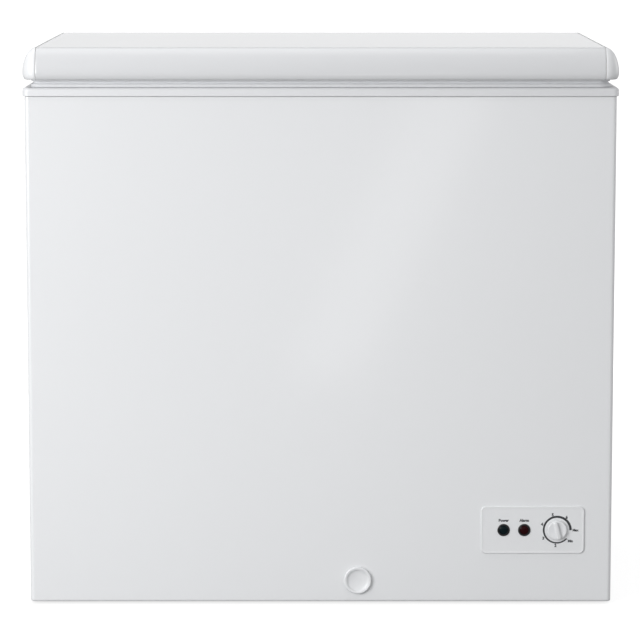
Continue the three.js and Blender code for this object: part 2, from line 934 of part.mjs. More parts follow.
const shellSide = compressor.x + rx * 0.935;
add(
  "suction_line",
  tube(
    bent(
      [
        [compressor.x - rx * 0.95, compressor.y - 6, compressor.seam + 30],
        [compressor.x - rx - 26, compressor.y - 6, compressor.seam + 30],
        [compressor.x - rx - 26, compressor.y - 6, bay.top - 60],
        [evapTail.outX, evapTail.y, bay.top - 64],
        [evapTail.outX, evapTail.y, evapTail.z - gap],
      ],
      22,
      3,
    ),
    evaporator.radius,
  ),
  copper,
);
add(
  "discharge_line",
  tube(
    bent(
      [
        [shellSide, compressor.y - 14, compressor.seam + 20],
        [shellSide + 12, compressor.y - 14, compressor.seam + 20],
        [shellSide + 12, compressor.y - 150, compressor.seam + 60],
        [condenserInlet[0] + 44, condenserInlet[1] + 70, condenserInlet[2]],
        [condenserInlet[0] + 30, condenserInlet[1] + 6, condenserInlet[2]],
        [condenserInlet[0] + 0.7, condenserInlet[1] + 0.2, condenserInlet[2]],
      ],
      22,
      2,
    ),
    condenser.radius,
  ),
  copper,
);

// ---------------------------------------------------------------- covers of the bay

const cover = { x0: bayX - 0.5, x1: insideX, z0: skinBottom + 1, z1: bay.top + 0.5, slots: 9, columns: 2 };
const glandAt = { x: cover.x0 + 26, z: cover.z0 + 34, radius: 8 };
const coverSlots = Array.from({ length: cover.slots * cover.columns }, (_, i) => {
  const column = i % cover.columns;
  const row = Math.floor(i / cover.columns);
  const width = (cover.x1 - cover.x0 - 40) / cover.columns - 12;
  const x = cover.x0 + 26 + column * (width + 12);
  const pitch = (cover.z1 - cover.z0 - 100) / cover.slots;
  const z = cover.z0 + 80 + row * pitch;
  return box(x, x + width, panelBack - 10, panelBack + 10, z, z + pitch / 3);
});
add(
  "compressor_cover",
  cut(
    box(cover.x0, cover.x1, panelBack - skin.thickness, panelBack, cover.z0, cover.z1),
    ...coverSlots,
    turnedForward([[0, -9], [glandAt.radius + gap, -9], [glandAt.radius + gap, 9], [0, 9]], 16).translate(
      glandAt.x,
      panelBack,
      glandAt.z,
    ),
  ),
  galvanised,
);
add(
  "cable_gland",
  turned(
    [
      [3.4, -8],
      [glandAt.radius, -8],
      [glandAt.radius, gap],
      [12, gap],
      [11, 4],
      [6, 9],
      [3.4, 9],
      [3.4, -8],
    ],
    16,
  ).translate(glandAt.x, panelBack, glandAt.z),
  blackRubber,
);

const slatPitch = (vent.top - vent.bottom - 8) / vent.slats;
const ventSlots = Array.from({ length: vent.slats }, (_, i) => {
  const z = vent.bottom + 6 + i * slatPitch;
  return box(skinX - 10, skinX + 10, vent.front + 6, vent.back - 6, z, z + slatPitch * 0.55);
});
add(
  "side_grille",
  cut(
    join(
      prismX(ventBox(vent.frame), skinX + gap, halfWidth - 0.4),
      prismX(ventBox(-0.6), skinX - 4, skinX + 1),
    ),
    ...ventSlots,
  ),
  whitePlastic,
);

// ---------------------------------------------------------------- lid

// The lid's plan, round at the front corners and run on past the back, where it is cut off flat.
const lidCorner = lid.planeRadius + lid.roll;
const lidPlan = (inset, r) =>
  roundedRect(-halfWidth + inset, halfWidth - inset, lidFront + inset, overall.depth, r, 4);
const lidSlab = (inset, back, z0, z1, holes) =>
  keep(
    prismZ(lidPlan(inset, lidCorner - inset), z0, z1, holes),
    box(-beyond, beyond, -beyond, back, z0 - 1, z1 + 1),
  );

// The lid's outer form: an elliptical roll up to a flat top, and a small roll under its lower edge.
// shrink moves every face inwards; back is where the flat rear face lies.
function lidForm(shrink, back) {
  const shoulderZ = overall.height - lid.shoulder;
  const rolled = (roll, rise, lift) => {
    const inset = roll + shrink;
    return new THREE.ExtrudeGeometry(
      shapeOf(lidPlan(inset, lid.planeRadius + lid.roll - roll)),
      {
        depth: 2,
        bevelEnabled: true,
        bevelSize: roll,
        bevelThickness: rise,
        bevelSegments: 8,
        curveSegments: 4,
      },
    ).translate(0, 0, lift);
  };
  const above = box(-beyond, beyond, -beyond, back, shoulderZ - 1, beyond); // laps the part below
  const below = box(-beyond, beyond, -beyond, back, 0, shoulderZ);
  const rise = lid.shoulder - shrink;
  const under = shoulderZ - lidBottom;
  return join(
    keep(rolled(lid.roll, rise, shoulderZ - 2), above),
    keep(rolled(lid.underRoll, under, shoulderZ), below),
  );
}

const lidBack = skinBack;
const lidInner = join(
  lidForm(lid.skin, lidBack - lid.skin),
  lidSlab(lid.underRoll + lid.skin, lidBack - lid.skin, lidBottom - 20, lidBottom + 1),
);
const lidShell = cut(lidForm(0, lidBack), lidInner);
const capX = halfWidth - lid.capLength;
add("lid_panel", keep(lidShell, box(-capX, capX, -beyond, beyond, 0, beyond)), whitePaint, lidGroup);
for (const [side, name] of [
  [-1, "lid_end_cap_left"],
  [1, "lid_end_cap_right"],
]) {
  const [a, b] = [side * (capX + gap), side * beyond].sort((p, q) => p - q);
  add(name, keep(lidShell, box(a, b, -beyond, beyond, 0, beyond)), whitePlastic, lidGroup);
}

const panX = skinX - ledge.inner - lidPan.inset;
const panFront = skinFront + ledge.inner + lidPan.inset;
const panBack = skinBack - ledge.inner - lidPan.inset;
const panBottom = lidBottom - lidPan.depth;
const linerPlate = 2;
const panRect = (shrink) =>
  roundedRect(-panX + shrink, panX - shrink, panFront + shrink, panBack - shrink, 20 - shrink, 3);
const underEdge = lid.underRoll + lid.skin + gap;
add(
  "lid_liner",
  join(
    lidSlab(underEdge, lidBack - lid.skin - gap, lidBottom, lidBottom + linerPlate, [
      panRect(linerPlate).reverse(),
    ]),
    prismZ(panRect(0), panBottom, lidBottom + 1, [panRect(linerPlate).reverse()]),
    prismZ(panRect(0), panBottom, panBottom + linerPlate),
  ),
  linerPaint,
  lidGroup,
);
add(
  "lid_foam",
  join(
    keep(
      lidForm(lid.skin + gap + 0.2, lidBack - lid.skin - gap),
      box(-beyond, beyond, -beyond, beyond, lidBottom + linerPlate + gap, beyond),
    ),
    prismZ(panRect(linerPlate + gap), panBottom + linerPlate + gap, lidBottom + linerPlate + 1),
  ),
  foam,
  lidGroup,
);

// The magnetic gasket: a base under the lid, a soft neck, and the head that rests on the top frame.
function gasketBand(inset, width, z0, z1) {
  const rect = (u) => roundedRect(-halfWidth + u, halfWidth - u, lidFront + u, lidBack - u + 2, 10, 2);
  return prismZ(rect(gasket.inset + inset), z0, z1, [rect(gasket.inset + inset + width).reverse()]);
}
const head = gasket.height * 0.42;
add(
  "lid_gasket",
  join(
    gasketBand(0, gasket.width, lidBottom - 3.5, lidBottom - gap),
    gasketBand(4, gasket.width - 8, frameTop + gap + head - 1, lidBottom - 3),
    gasketBand(0, gasket.width, frameTop + gap, frameTop + gap + head),
  ),
  greyRubber,
  lidGroup,
);

// ---------------------------------------------------------------- hinges, drawn about the pin

const pinY = skinBack + hinge.pinBack;
const pinZ = lidBottom - hinge.pinUp;
const channelHalf = hinge.innerWidth / 2;
const backOf = skinBack - pinY + gap; // the cabinet's back, seen from the pin
const pinHole = circle(0, 0, hinge.pinRadius + 0.12, 16);
const ear = (outline, x0, x1) => cut(prismX(outline, x0, x1), prismX(pinHole, x0 - 1, x1 + 1));
const seatZ = -hinge.length + 14;
const plungerTop = -cam.radius - cam.fall * 0.12 - 0.6;
const plunger = { height: 26 };
const springY = -1;

// The base is a channel screwed to the cabinet's back, with an ear each side for the pin.
function hingeBase() {
  const outer = channelHalf + hinge.sheet;
  const earFront = backOf;
  const earBack = hinge.depth - hinge.pinBack;
  const outline = [
    new THREE.Vector2(earFront, -hinge.length),
    new THREE.Vector2(earBack, -hinge.length + 6),
    new THREE.Vector2(earBack, -4),
    ...arc(0, 0, 8, 0, Math.PI * 0.5, 4),
    new THREE.Vector2(-8, 4),
    new THREE.Vector2(-8.2, -16),
    new THREE.Vector2(earFront, -18),
  ];
  const plateTop = -18;
  return join(
    ear(outline, -outer, -channelHalf),
    ear(outline, channelHalf, outer),
    box(-outer, outer, backOf, backOf + hinge.sheet, -hinge.length, plateTop),
    box(-channelHalf - 0.5, channelHalf + 0.5, backOf + 0.5, earBack - 2, seatZ - 1.5, seatZ),
  );
}

// The arm is screwed to the lid's rear face. Its two ears turn on the pin and carry the spiral cam.
function hingeArm() {
  const outer = channelHalf - clearance;
  const plateBottom = hinge.pinUp + 4;
  const plateTop = hinge.pinUp + lid.height - 8;
  const spiral = Array.from({ length: 13 }, (_, i) => {
    const turn = THREE.MathUtils.degToRad(-20 + (i * 125) / 12);
    const r = Math.max(cam.radius - cam.fall * turn, 6.5);
    return new THREE.Vector2(r * Math.sin(turn), -r * Math.cos(turn));
  });
  const outline = [
    ...spiral,
    new THREE.Vector2(backOf + 6, plateTop - 12),
    new THREE.Vector2(backOf + 2, plateTop),
    new THREE.Vector2(backOf, plateTop),
    new THREE.Vector2(backOf, plateBottom - 2),
    new THREE.Vector2(-8.5, 4),
  ];
  return join(
    ear(outline, -outer, -outer + 2),
    ear(outline, outer - 2, outer),
    box(-outer, outer, backOf, backOf + 2, plateBottom, plateTop),
  );
}

function hingePin() {
  const end = channelHalf + hinge.sheet;
  return turned(
    [
      [0, -end - 3],
      [5, -end - 3],
      [5, -end - gap],
      [hinge.pinRadius, -end - gap],
      [hinge.pinRadius, end + 2],
      [0, end + 2],
    ],
    16,
  ).rotateZ(-Math.PI / 2);
}

// The plunger stands on the spring and follows the cam.
function hingePlunger() {
  const half = channelHalf - clearance;
  const back = hinge.depth - hinge.pinBack - 2;
  const front = backOf + hinge.sheet + clearance;
  const top = plungerTop;
  return join(
    prismX(
      vectors([
        [front, top - plunger.height],
        [back, top - plunger.height],
        [back, top - 4],
        [2.5, top],
        [-2.5, top],
        [front, top - 3],
      ]),
      -half,
      half,
    ),
    upright(0, springY, 3.5, top - plunger.height - 10, top - plunger.height + 1),
  );
}

function springCoil() {
  const wire = 0.9;
  const r = 5.6;
  const turns = 5;
  const perTurn = 9;
  const z0 = seatZ + wire + gap;
  const z1 = plungerTop - plunger.height - wire - gap - 0.4;
  const points = Array.from({ length: turns * perTurn + 1 }, (_, i) => {
    const a = (2 * Math.PI * i) / perTurn;
    const z = z0 + ((z1 - z0) * i) / (turns * perTurn);
    return new THREE.Vector3(r * Math.cos(a), springY + r * Math.sin(a), z);
  });
  return tube(points, wire, 5);
}

// A clip-on plastic cap over the channel.
function hingeCover() {
  const half = channelHalf + hinge.sheet + clearance;
  const shell = 1.5;
  const back = overall.depth / 2 - pinY;
  const bottom = -hinge.length - 3;
  const top = -20;
  return cut(
    box(-half - shell, half + shell, backOf, back, bottom - shell, top),
    box(-half, half, backOf - 5, back - shell, bottom, top + 5),
  );
}

for (const [side, name] of [
  [-1, "left"],
  [1, "right"],
]) {
  const fixed = new THREE.Group();
  const moving = new THREE.Group();
  fixed.position.set(side * (skinX - hinge.fromSide), pinY, pinZ);
  moving.position.copy(fixed.position);
  freezer.add(fixed);
  lidGroup.add(moving);
  add(`hinge_base_${name}`, hingeBase(), galvanised, fixed);
  add(`hinge_pin_${name}`, hingePin(), zincSteel, fixed);
  add(`hinge_plunger_${name}`, hingePlunger(), blackPlastic, fixed);
  add(`hinge_spring_${name}`, springCoil(), zincSteel, fixed);
  add(`hinge_cover_${name}`, hingeCover(), whitePlastic, fixed);
  add(`hinge_arm_${name}`, hingeArm(), galvanised, moving);
}

// ---------------------------------------------------------------- hanging wire basket

const hang = {
  front: skinFront + ledge.outer + 4,
  back: skinBack - ledge.outer - 4,
  right: tub.x - basket.gapToWall,
  z: ledge.z + basket.frameWire + gap,
};
hang.left = hang.right - basket.width;
const cageFront = skinFront + ledge.inner + basket.gapToWall;
const cageBack = skinBack - ledge.inner - basket.gapToWall;
const cageBottom = ledge.z - basket.depth;
const wireZ = hang.z + basket.frameWire + basket.wire + gap;

// A closed ring of wire of eight-sided section, lying flat, round a rectangle between wire centres.
function wireRing(x0, x1, y0, y1, z, bend, r) {
  const flat = r * Math.tan(Math.PI / 8);
  const rim = (out) => roundedRect(x0 - out, x1 + out, y0 - out, y1 + out, bend + out, 3);
  return new THREE.ExtrudeGeometry(shapeOf(rim(flat), [rim(-flat).reverse()]), {
    depth: 2 * flat,
    bevelEnabled: true,
    bevelSize: r - flat,
    bevelThickness: r - flat,
    bevelSegments: 1,
  }).translate(0, 0, z - flat);
}

const basketGroup = new THREE.Group();
freezer.add(basketGroup);
add(
  "basket_frame",
  wireRing(hang.left, hang.right, hang.front, hang.back, hang.z, 14, basket.frameWire),
  coatedWire,
  basketGroup,
);

const spread = (count, from, to) =>
  Array.from({ length: count }, (_, i) => from + ((to - from) * i) / (count - 1));
const acrossWires = spread(basket.acrossCount, hang.left + 22, hang.right - 22).map((x) =>
  tube(
    bent(
      [
        [x, hang.front, wireZ],
        [x, cageFront, wireZ],
        [x, cageFront, cageBottom],
        [x, cageBack, cageBottom],
        [x, cageBack, wireZ],
        [x, hang.back, wireZ],
      ],
      9,
      2,
    ),
    basket.wire,
    6,
  ),
);
const laid = 2 * basket.wire - 0.9; // one wire welded on another
const insideRim = basket.frameWire + basket.wire + gap;
const sideX = [hang.left + insideRim, hang.right - insideRim];
const alongWires = spread(basket.alongCount, cageFront + 70, cageBack - 70).map((y) =>
  tube(
    bent(
      [
        [sideX[0], y, hang.z],
        [sideX[0], y, cageBottom - laid],
        [sideX[1], y, cageBottom - laid],
        [sideX[1], y, hang.z],
      ],
      9,
      2,
    ),
    basket.wire,
    6,
  ),
);
const hoops = [0.36, 0.7].map((share) =>
  wireRing(
    sideX[0] - laid,
    sideX[1] + laid,
    cageFront - laid,
    cageBack + laid,
    ledge.z - basket.depth * share,
    10,
    basket.wire,
  ),
);
add("basket_cage", join(...acrossWires, ...alongWires, ...hoops), coatedWire, basketGroup);

export default freezer;
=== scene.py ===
"""A 200 litre chest freezer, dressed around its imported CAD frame.

Metres, X to the right, Y to the back, Z up. The sections follow the order of assembly: cabinet skin,
rear panel and base, compressor bay, liner, drain, top frame, control panel, lid, hinges and basket.
"""

import bmesh
import bpy
import numpy as np
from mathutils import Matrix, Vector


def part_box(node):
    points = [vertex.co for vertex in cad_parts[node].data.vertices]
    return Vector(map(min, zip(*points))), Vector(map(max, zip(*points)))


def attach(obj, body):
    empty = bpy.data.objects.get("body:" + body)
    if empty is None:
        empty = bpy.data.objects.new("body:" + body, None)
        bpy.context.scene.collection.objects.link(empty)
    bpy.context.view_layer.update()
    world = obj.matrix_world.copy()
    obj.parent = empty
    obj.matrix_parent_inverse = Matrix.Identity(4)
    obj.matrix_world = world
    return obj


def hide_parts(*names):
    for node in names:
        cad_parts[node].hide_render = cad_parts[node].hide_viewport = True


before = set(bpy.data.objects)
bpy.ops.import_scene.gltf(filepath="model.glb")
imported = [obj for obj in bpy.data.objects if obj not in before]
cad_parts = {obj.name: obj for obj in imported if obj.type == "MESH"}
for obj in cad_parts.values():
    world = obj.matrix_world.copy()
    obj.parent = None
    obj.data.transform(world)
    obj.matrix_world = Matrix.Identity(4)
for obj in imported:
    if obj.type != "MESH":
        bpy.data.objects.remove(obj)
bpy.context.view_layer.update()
scene = bpy.context.scene


# ---------------------------------------------------------------- camera
# A long lens stands well back in front of the freezer, a little above the height of its lid, and is
# tilted down on to it.

camera = bpy.data.objects.new("front_camera", bpy.data.cameras.new("front_camera"))
camera.location = (-0.0011, -4.836, 1.078)
camera.rotation_euler = (np.radians(90 - 7.92), 0, 0)
camera.data.lens = 170.4
camera.data.clip_end = 60
scene.collection.objects.link(camera)
scene.camera = camera


# ---------------------------------------------------------------- studio
# A white room with six soft sources: a broad one at the front left, a weaker one at the front right,
# a strip overhead, a fill for the right side, a card behind, and a narrow band that gives a slanting gloss.


def soft_light(name, place, target, size, power, roll=0.0):
    """A rectangular area light at place that faces the target, turned about its own axis by roll. The
    camera doesn't see it."""
    light = bpy.data.lights.new(name, "AREA")
    light.shape = "RECTANGLE"
    light.size, light.size_y = size
    light.energy = power
    lamp = bpy.data.objects.new(name, light)
    away = np.subtract(place, target)
    lamp.location = place
    lamp.rotation_euler = (
        np.arctan2(np.hypot(away[0], away[1]), away[2]),
        0,
        np.arctan2(away[1], away[0]) + np.pi / 2,
    )
    lamp.rotation_euler.rotate_axis("Z", roll)
    lamp.visible_camera = False
    scene.collection.objects.link(lamp)


FREEZER_MIDDLE = (0, 0, 0.45)
soft_light("key_left", (-2.3, -2.7, 1.15), FREEZER_MIDDLE, (2.0, 1.6), 82)
soft_light("fill_right", (2.9, -3.2, 1.4), FREEZER_MIDDLE, (1.6, 2.0), 12)
soft_light("top_strip", (-0.3, 0.0, 3.0), FREEZER_MIDDLE, (2.8, 1.8), 22)
soft_light("gloss_band", (0.12, -2.5, 0.25), (0.12, 0, 0.25), (0.16, 1.0), 1.6, np.radians(-25))
soft_light("side_fill", (3.4, 0.9, 1.3), FREEZER_MIDDLE, (1.6, 1.8), 26)
soft_light("rear_card", (0, 4.5, 1.5), FREEZER_MIDDLE, (5.0, 1.6), 16)


def new_node(tree, kind, values=None, operation=None):
    """A shader node of a kind, with its operation and the values of its inputs."""
    node = tree.nodes.new("ShaderNode" + kind)
    if operation:
        node.operation = operation
    for socket, value in (values or {}).items():
        node.inputs[socket].default_value = value
    return node


world = bpy.data.worlds.new("white_room")
world.use_nodes = True
room = world.node_tree.nodes["Background"]
seen = new_node(world.node_tree, "LightPath")
level = new_node(world.node_tree, "MapRange", {"To Min": 0.46, "To Max": 1.1})  # as light, or as seen
world.node_tree.links.new(seen.outputs["Is Camera Ray"], level.inputs["Value"])
world.node_tree.links.new(level.outputs["Result"], room.inputs["Strength"])
room.inputs["Color"].default_value = (1, 1, 1, 1)
scene.world = world
scene.view_settings.view_transform = "Standard"


# ---------------------------------------------------------------- cabinet skin
# One sheet of enamelled steel, folded round the front and both sides. Its rear edges turn in as
# flanges, its lower edge is rolled under, and it is pierced for the panel, the drain and the side vent.


def arc(cx, cy, r, start, end, steps):
    """Points of a circle about (cx, cy), between two angles in degrees: centre plus r (cos, sin)."""
    a = np.radians(np.linspace(start, end, steps + 1))
    return np.stack([cx + r * np.cos(a), cy + r * np.sin(a)], axis=1)


def ring(x0, x1, y0, y1, r, z, steps=6):
    """A rounded rectangle at height z, counter-clockwise from above: four quarter circles, joined."""
    flat = np.concatenate([
        arc(x1 - r, y0 + r, r, 270, 360, steps),
        arc(x1 - r, y1 - r, r, 0, 90, steps),
        arc(x0 + r, y1 - r, r, 90, 180, steps),
        arc(x0 + r, y0 + r, r, 180, 270, steps),
    ])
    return np.column_stack([flat, np.full(len(flat), z)])


def sheet_grid(lines, closed=False, looped=False, ends=0, drop=None):
    """Quads between neighbouring lines of a (lines, points) grid. closed joins each line's last point
    to its first, looped joins the last line to the first, ends covers the first line (1) or the first
    and the last (2), and drop is a mask of the quads that are left out."""
    rows, cols = lines.shape[:2]
    index = np.arange(rows * cols).reshape(rows, cols)
    first, last = index[0, ::-1].tolist(), index[-1].tolist()
    if closed:
        index = np.concatenate([index, index[:, :1]], axis=1)
    if looped:
        index = np.concatenate([index, index[:1]], axis=0)
    quads = np.stack([index[:-1, :-1], index[:-1, 1:], index[1:, 1:], index[1:, :-1]], axis=-1)
    kept = quads if drop is None else quads[~drop]
    faces = kept.reshape(-1, 4).tolist()
    return lines.reshape(-1, 3), faces + [first, last][:ends]


def joined(*parts):
    """Several (points, faces) pairs as one, each part's faces counted on from the parts before it."""
    starts = np.cumsum([0] + [len(points) for points, _ in parts[:-1]])
    faces = [[start + i for i in face] for start, (_, some) in zip(starts, parts) for face in some]
    return np.concatenate([points for points, _ in parts]), faces


def make_piece(name, shape, material, body, replaced=(), sharp=35):
    """A mesh object at the origin that rides on a body. Faces that meet at less than the sharp angle
    are shaded as one surface, and the rim of an open surface is kept sharp."""
    points, faces = shape
    mesh = bpy.data.meshes.new(name)
    mesh.from_pydata(np.asarray(points).tolist(), [], faces)
    mesh.polygons.foreach_set("use_smooth", np.ones(len(mesh.polygons), bool))
    mesh.set_sharp_from_angle(angle=np.radians(sharp))
    sides = np.zeros(len(mesh.loops), np.int32)
    mesh.loops.foreach_get("edge_index", sides)
    crease = mesh.attributes.get("sharp_edge") or mesh.attributes.new("sharp_edge", "BOOLEAN", "EDGE")
    creased = np.zeros(len(mesh.edges), bool)
    crease.data.foreach_get("value", creased)
    creased |= np.bincount(sides, minlength=len(mesh.edges)) == 1
    crease.data.foreach_set("value", creased)
    mesh.materials.append(material)
    piece = bpy.data.objects.new(name, mesh)
    scene.collection.objects.link(piece)
    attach(piece, body)
    if replaced:
        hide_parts(*replaced)
    return piece


def thicken(piece, thickness):
    """Gives an open surface its wall, behind the face that shows."""
    wall = piece.modifiers.new("wall", "SOLIDIFY")
    wall.thickness = thickness
    wall.offset = -1
    return piece


def round_edges(piece, width, segments):
    """Breaks the edges that are sharper than 50 degrees, as pressing or moulding does."""
    bevel = piece.modifiers.new("broken_edges", "BEVEL")
    bevel.width = width
    bevel.segments = segments
    bevel.limit_method = "ANGLE"
    bevel.angle_limit = np.radians(50)
    bevel.harden_normals = True
    return piece


def surface_variation():
    """Node group: a colour that drifts in soft clouds, a roughness that follows smears, and a fine
    grain for height. Clouds and smears are noise at the cloud scale, the grain is noise at its own."""
    group = bpy.data.node_groups.new("surface_variation", "ShaderNodeTree")
    for name, kind, default in [
        ("Colour", "NodeSocketColor", (0.8, 0.8, 0.8, 1)),
        ("Colour Drift", "NodeSocketFloat", 0.02),
        ("Cloud Scale", "NodeSocketFloat", 3.0),
        ("Roughness", "NodeSocketFloat", 0.4),
        ("Roughness Drift", "NodeSocketFloat", 0.05),
        ("Grain Scale", "NodeSocketFloat", 400.0),
        ("Stretch", "NodeSocketVector", (1, 1, 1)),
    ]:
        socket = group.interface.new_socket(name, in_out="INPUT", socket_type=kind)
        socket.default_value = default
    for name, kind in [
        ("Colour", "NodeSocketColor"),
        ("Roughness", "NodeSocketFloat"),
        ("Grain", "NodeSocketFloat"),
    ]:
        group.interface.new_socket(name, in_out="OUTPUT", socket_type=kind)
    link = group.links.new
    given, out = group.nodes.new("NodeGroupInput"), group.nodes.new("NodeGroupOutput")
    place = new_node(group, "TexCoord")
    stretched = new_node(group, "VectorMath", operation="MULTIPLY")
    link(place.outputs["Object"], stretched.inputs[0])
    link(given.outputs["Stretch"], stretched.inputs[1])

    def noise(scale, detail, shift):
        """Noise at the named scale, moved aside so that no two of them agree."""
        moved = new_node(group, "VectorMath", {1: (shift, shift * 0.7, shift * 1.3)}, "ADD")
        link(stretched.outputs[0], moved.inputs[0])
        node = new_node(group, "TexNoise", {"Detail": detail})
        link(moved.outputs[0], node.inputs["Vector"])
        link(given.outputs[scale], node.inputs["Scale"])
        return node.outputs["Fac"]

    def swing(fac, amount):
        """The noise, centred on nought and scaled by the named amount."""
        centred = new_node(group, "Math", {1: 2, 2: -1}, "MULTIPLY_ADD")
        link(fac, centred.inputs[0])
        scaled = new_node(group, "Math", operation="MULTIPLY")
        link(centred.outputs[0], scaled.inputs[0])
        link(given.outputs[amount], scaled.inputs[1])
        return scaled.outputs[0]

    def plus(value, other):
        """The sum of an output and a number or another output."""
        total = new_node(group, "Math", operation="ADD")
        link(value, total.inputs[0])
        if isinstance(other, float):
            total.inputs[1].default_value = other
        else:
            link(other, total.inputs[1])
        return total.outputs[0]

    tone = new_node(group, "VectorMath", operation="SCALE")
    link(given.outputs["Colour"], tone.inputs[0])
    link(plus(swing(noise("Cloud Scale", 3, 0.0), "Colour Drift"), 1.0), tone.inputs["Scale"])
    rough = plus(swing(noise("Cloud Scale", 6, 5.0), "Roughness Drift"), given.outputs["Roughness"])
    link(tone.outputs[0], out.inputs["Colour"])
    link(rough, out.inputs["Roughness"])
    link(noise("Grain Scale", 2, 9.0), out.inputs["Grain"])
    return group


variation = surface_variation()


def finish_of(name, colour, roughness, relief=None, **given):
    """A material whose colour, roughness and grain come from surface_variation. given sets metallic,
    coat, drift, clouds, smears, grain, height and stretch. relief adds a height of its own: it is a
    function of the node tree and returns a height output and its distance in metres."""
    value = {
        "metallic": 0.0,
        "coat": 0.0,
        "drift": 0.015,
        "clouds": 3.0,
        "smears": 0.04,
        "grain": 400.0,
        "height": 0.00002,
        "stretch": (1, 1, 1),
        **given,
    }
    material = bpy.data.materials.new(name)
    material.use_nodes = True
    tree = material.node_tree
    link = tree.links.new
    shader = tree.nodes["Principled BSDF"]
    vary = tree.nodes.new("ShaderNodeGroup")
    vary.node_tree = variation
    for socket, setting in {
        "Colour": (*colour, 1),
        "Colour Drift": value["drift"],
        "Cloud Scale": value["clouds"],
        "Roughness": roughness,
        "Roughness Drift": value["smears"],
        "Grain Scale": value["grain"],
        "Stretch": value["stretch"],
    }.items():
        vary.inputs[socket].default_value = setting
    bump = new_node(tree, "Bump", {"Strength": 1.0, "Distance": value["height"]})
    link(vary.outputs["Colour"], shader.inputs["Base Color"])
    link(vary.outputs["Roughness"], shader.inputs["Roughness"])
    link(vary.outputs["Grain"], bump.inputs["Height"])
    link(bump.outputs["Normal"], shader.inputs["Normal"])
    if relief:
        height, distance = relief(tree)
        outer = new_node(tree, "Bump", {"Strength": 1.0, "Distance": distance})
        link(height, outer.inputs["Height"])
        link(bump.outputs["Normal"], outer.inputs["Normal"])
        link(outer.outputs["Normal"], shader.inputs["Normal"])
    shader.inputs["Metallic"].default_value = value["metallic"]
    shader.inputs["Coat Weight"].default_value = value["coat"]
    shader.inputs["Coat Roughness"].default_value = 0.1
    return material


def waviness(tree):
    """The slow rise and fall of a large sheet that is held only at its edges and by its foam."""
    place = new_node(tree, "TexCoord")
    wave = new_node(tree, "TexNoise", {"Scale": 2.2, "Detail": 0.5})
    tree.links.new(place.outputs["Object"], wave.inputs["Vector"])
    return wave.outputs["Fac"], 0.0016


enamel = finish_of("white_enamel", (0.80, 0.81, 0.825), 0.3, waviness, coat=0.3, drift=0.008,
                   clouds=1.6, smears=0.05, grain=900, height=0.00001)

SKIN = 0.001
SKIN_CORNER = 0.006
SKIN_FLANGE = 0.014
FLANGE_BEND = 0.002
SKIN_ROLL = 0.0032  # radius of the roll along the lower edge
PANEL_LIP = 0.006  # how far the panel overlaps its opening
DRAIN_HOLE = 0.0135
VENT_LIP = 0.006

(_, skin_front, skin_bottom), (skin_side, skin_back, skin_top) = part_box("outer_shell")
panel_low, panel_high = np.array(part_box("control_panel"))
cap_low, cap_high = np.array(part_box("drain_cap"))
vent_low, vent_high = np.array(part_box("side_grille"))
drain_centre = (cap_low + cap_high) / 2
drain_xs = (drain_centre[0] - DRAIN_HOLE, drain_centre[0] + DRAIN_HOLE)
drain_zs = (drain_centre[2] - DRAIN_HOLE, drain_centre[2] + DRAIN_HOLE)
panel_xs = (panel_low[0] + PANEL_LIP, panel_high[0] - PANEL_LIP)
panel_zs = (panel_low[2] + PANEL_LIP, panel_high[2] - PANEL_LIP)
vent_ys = (vent_low[1] + VENT_LIP, vent_high[1] - VENT_LIP)
vent_zs = (vent_low[2] + VENT_LIP, vent_high[2] - VENT_LIP)


def offset_lines(plan, inset_and_height):
    """A plan drawn again at each (inset, height): every point steps in along the plan's own normal,
    which is its direction turned a quarter to the right."""
    along = np.gradient(plan, axis=0)
    out = np.stack([along[:, 1], -along[:, 0]], axis=1)
    out /= np.linalg.norm(out, axis=1, keepdims=True)
    inset = inset_and_height[:, 0][:, None, None]
    flat = plan[None] - out[None] * inset
    height = np.broadcast_to(inset_and_height[:, 1][:, None, None], (*flat.shape[:2], 1))
    return np.concatenate([flat, height], axis=2)


HOLD = 0.0015  # a line this close to a bend keeps the flat beyond it shaded flat
bend_end = SKIN_CORNER + HOLD
skin_plan = np.concatenate([
    [(-skin_side + SKIN_FLANGE, skin_back)],
    arc(-skin_side + FLANGE_BEND, skin_back - FLANGE_BEND, FLANGE_BEND, 90, 180, 3),
    [(-skin_side, skin_back - FLANGE_BEND - HOLD), (-skin_side, skin_front + bend_end)],
    arc(-skin_side + SKIN_CORNER, skin_front + SKIN_CORNER, SKIN_CORNER, 180, 270, 8),
    [(x, skin_front) for x in (-skin_side + bend_end, *drain_xs, *panel_xs, skin_side - bend_end)],
    arc(skin_side - SKIN_CORNER, skin_front + SKIN_CORNER, SKIN_CORNER, 270, 360, 8),
    [(skin_side, y) for y in (skin_front + bend_end, *vent_ys, skin_back - FLANGE_BEND - HOLD)],
    arc(skin_side - FLANGE_BEND, skin_back - FLANGE_BEND, FLANGE_BEND, 0, 90, 3),
    [(skin_side - SKIN_FLANGE, skin_back)],
])
skin_rise = np.concatenate([
    [(0.006, skin_bottom)],
    arc(SKIN_ROLL, skin_bottom + SKIN_ROLL, SKIN_ROLL, 270, 180, 5),
    [(0, skin_bottom + SKIN_ROLL + HOLD)],
    [(0, z) for z in sorted((*drain_zs, *panel_zs, *vent_zs))],
    [(0, skin_top - 0.0012 - HOLD), (0, skin_top - 0.0012)],
    [(0.0004, skin_top - 0.0003), (0.0014, skin_top)],
])
skin_lines = offset_lines(skin_plan, skin_rise)
quad_middle = (skin_lines[:-1, :-1] + skin_lines[1:, 1:]) / 2


def within(axis, span):
    """Which quads of the skin have their middle inside the span on that axis."""
    return (quad_middle[..., axis] > span[0]) & (quad_middle[..., axis] < span[1])


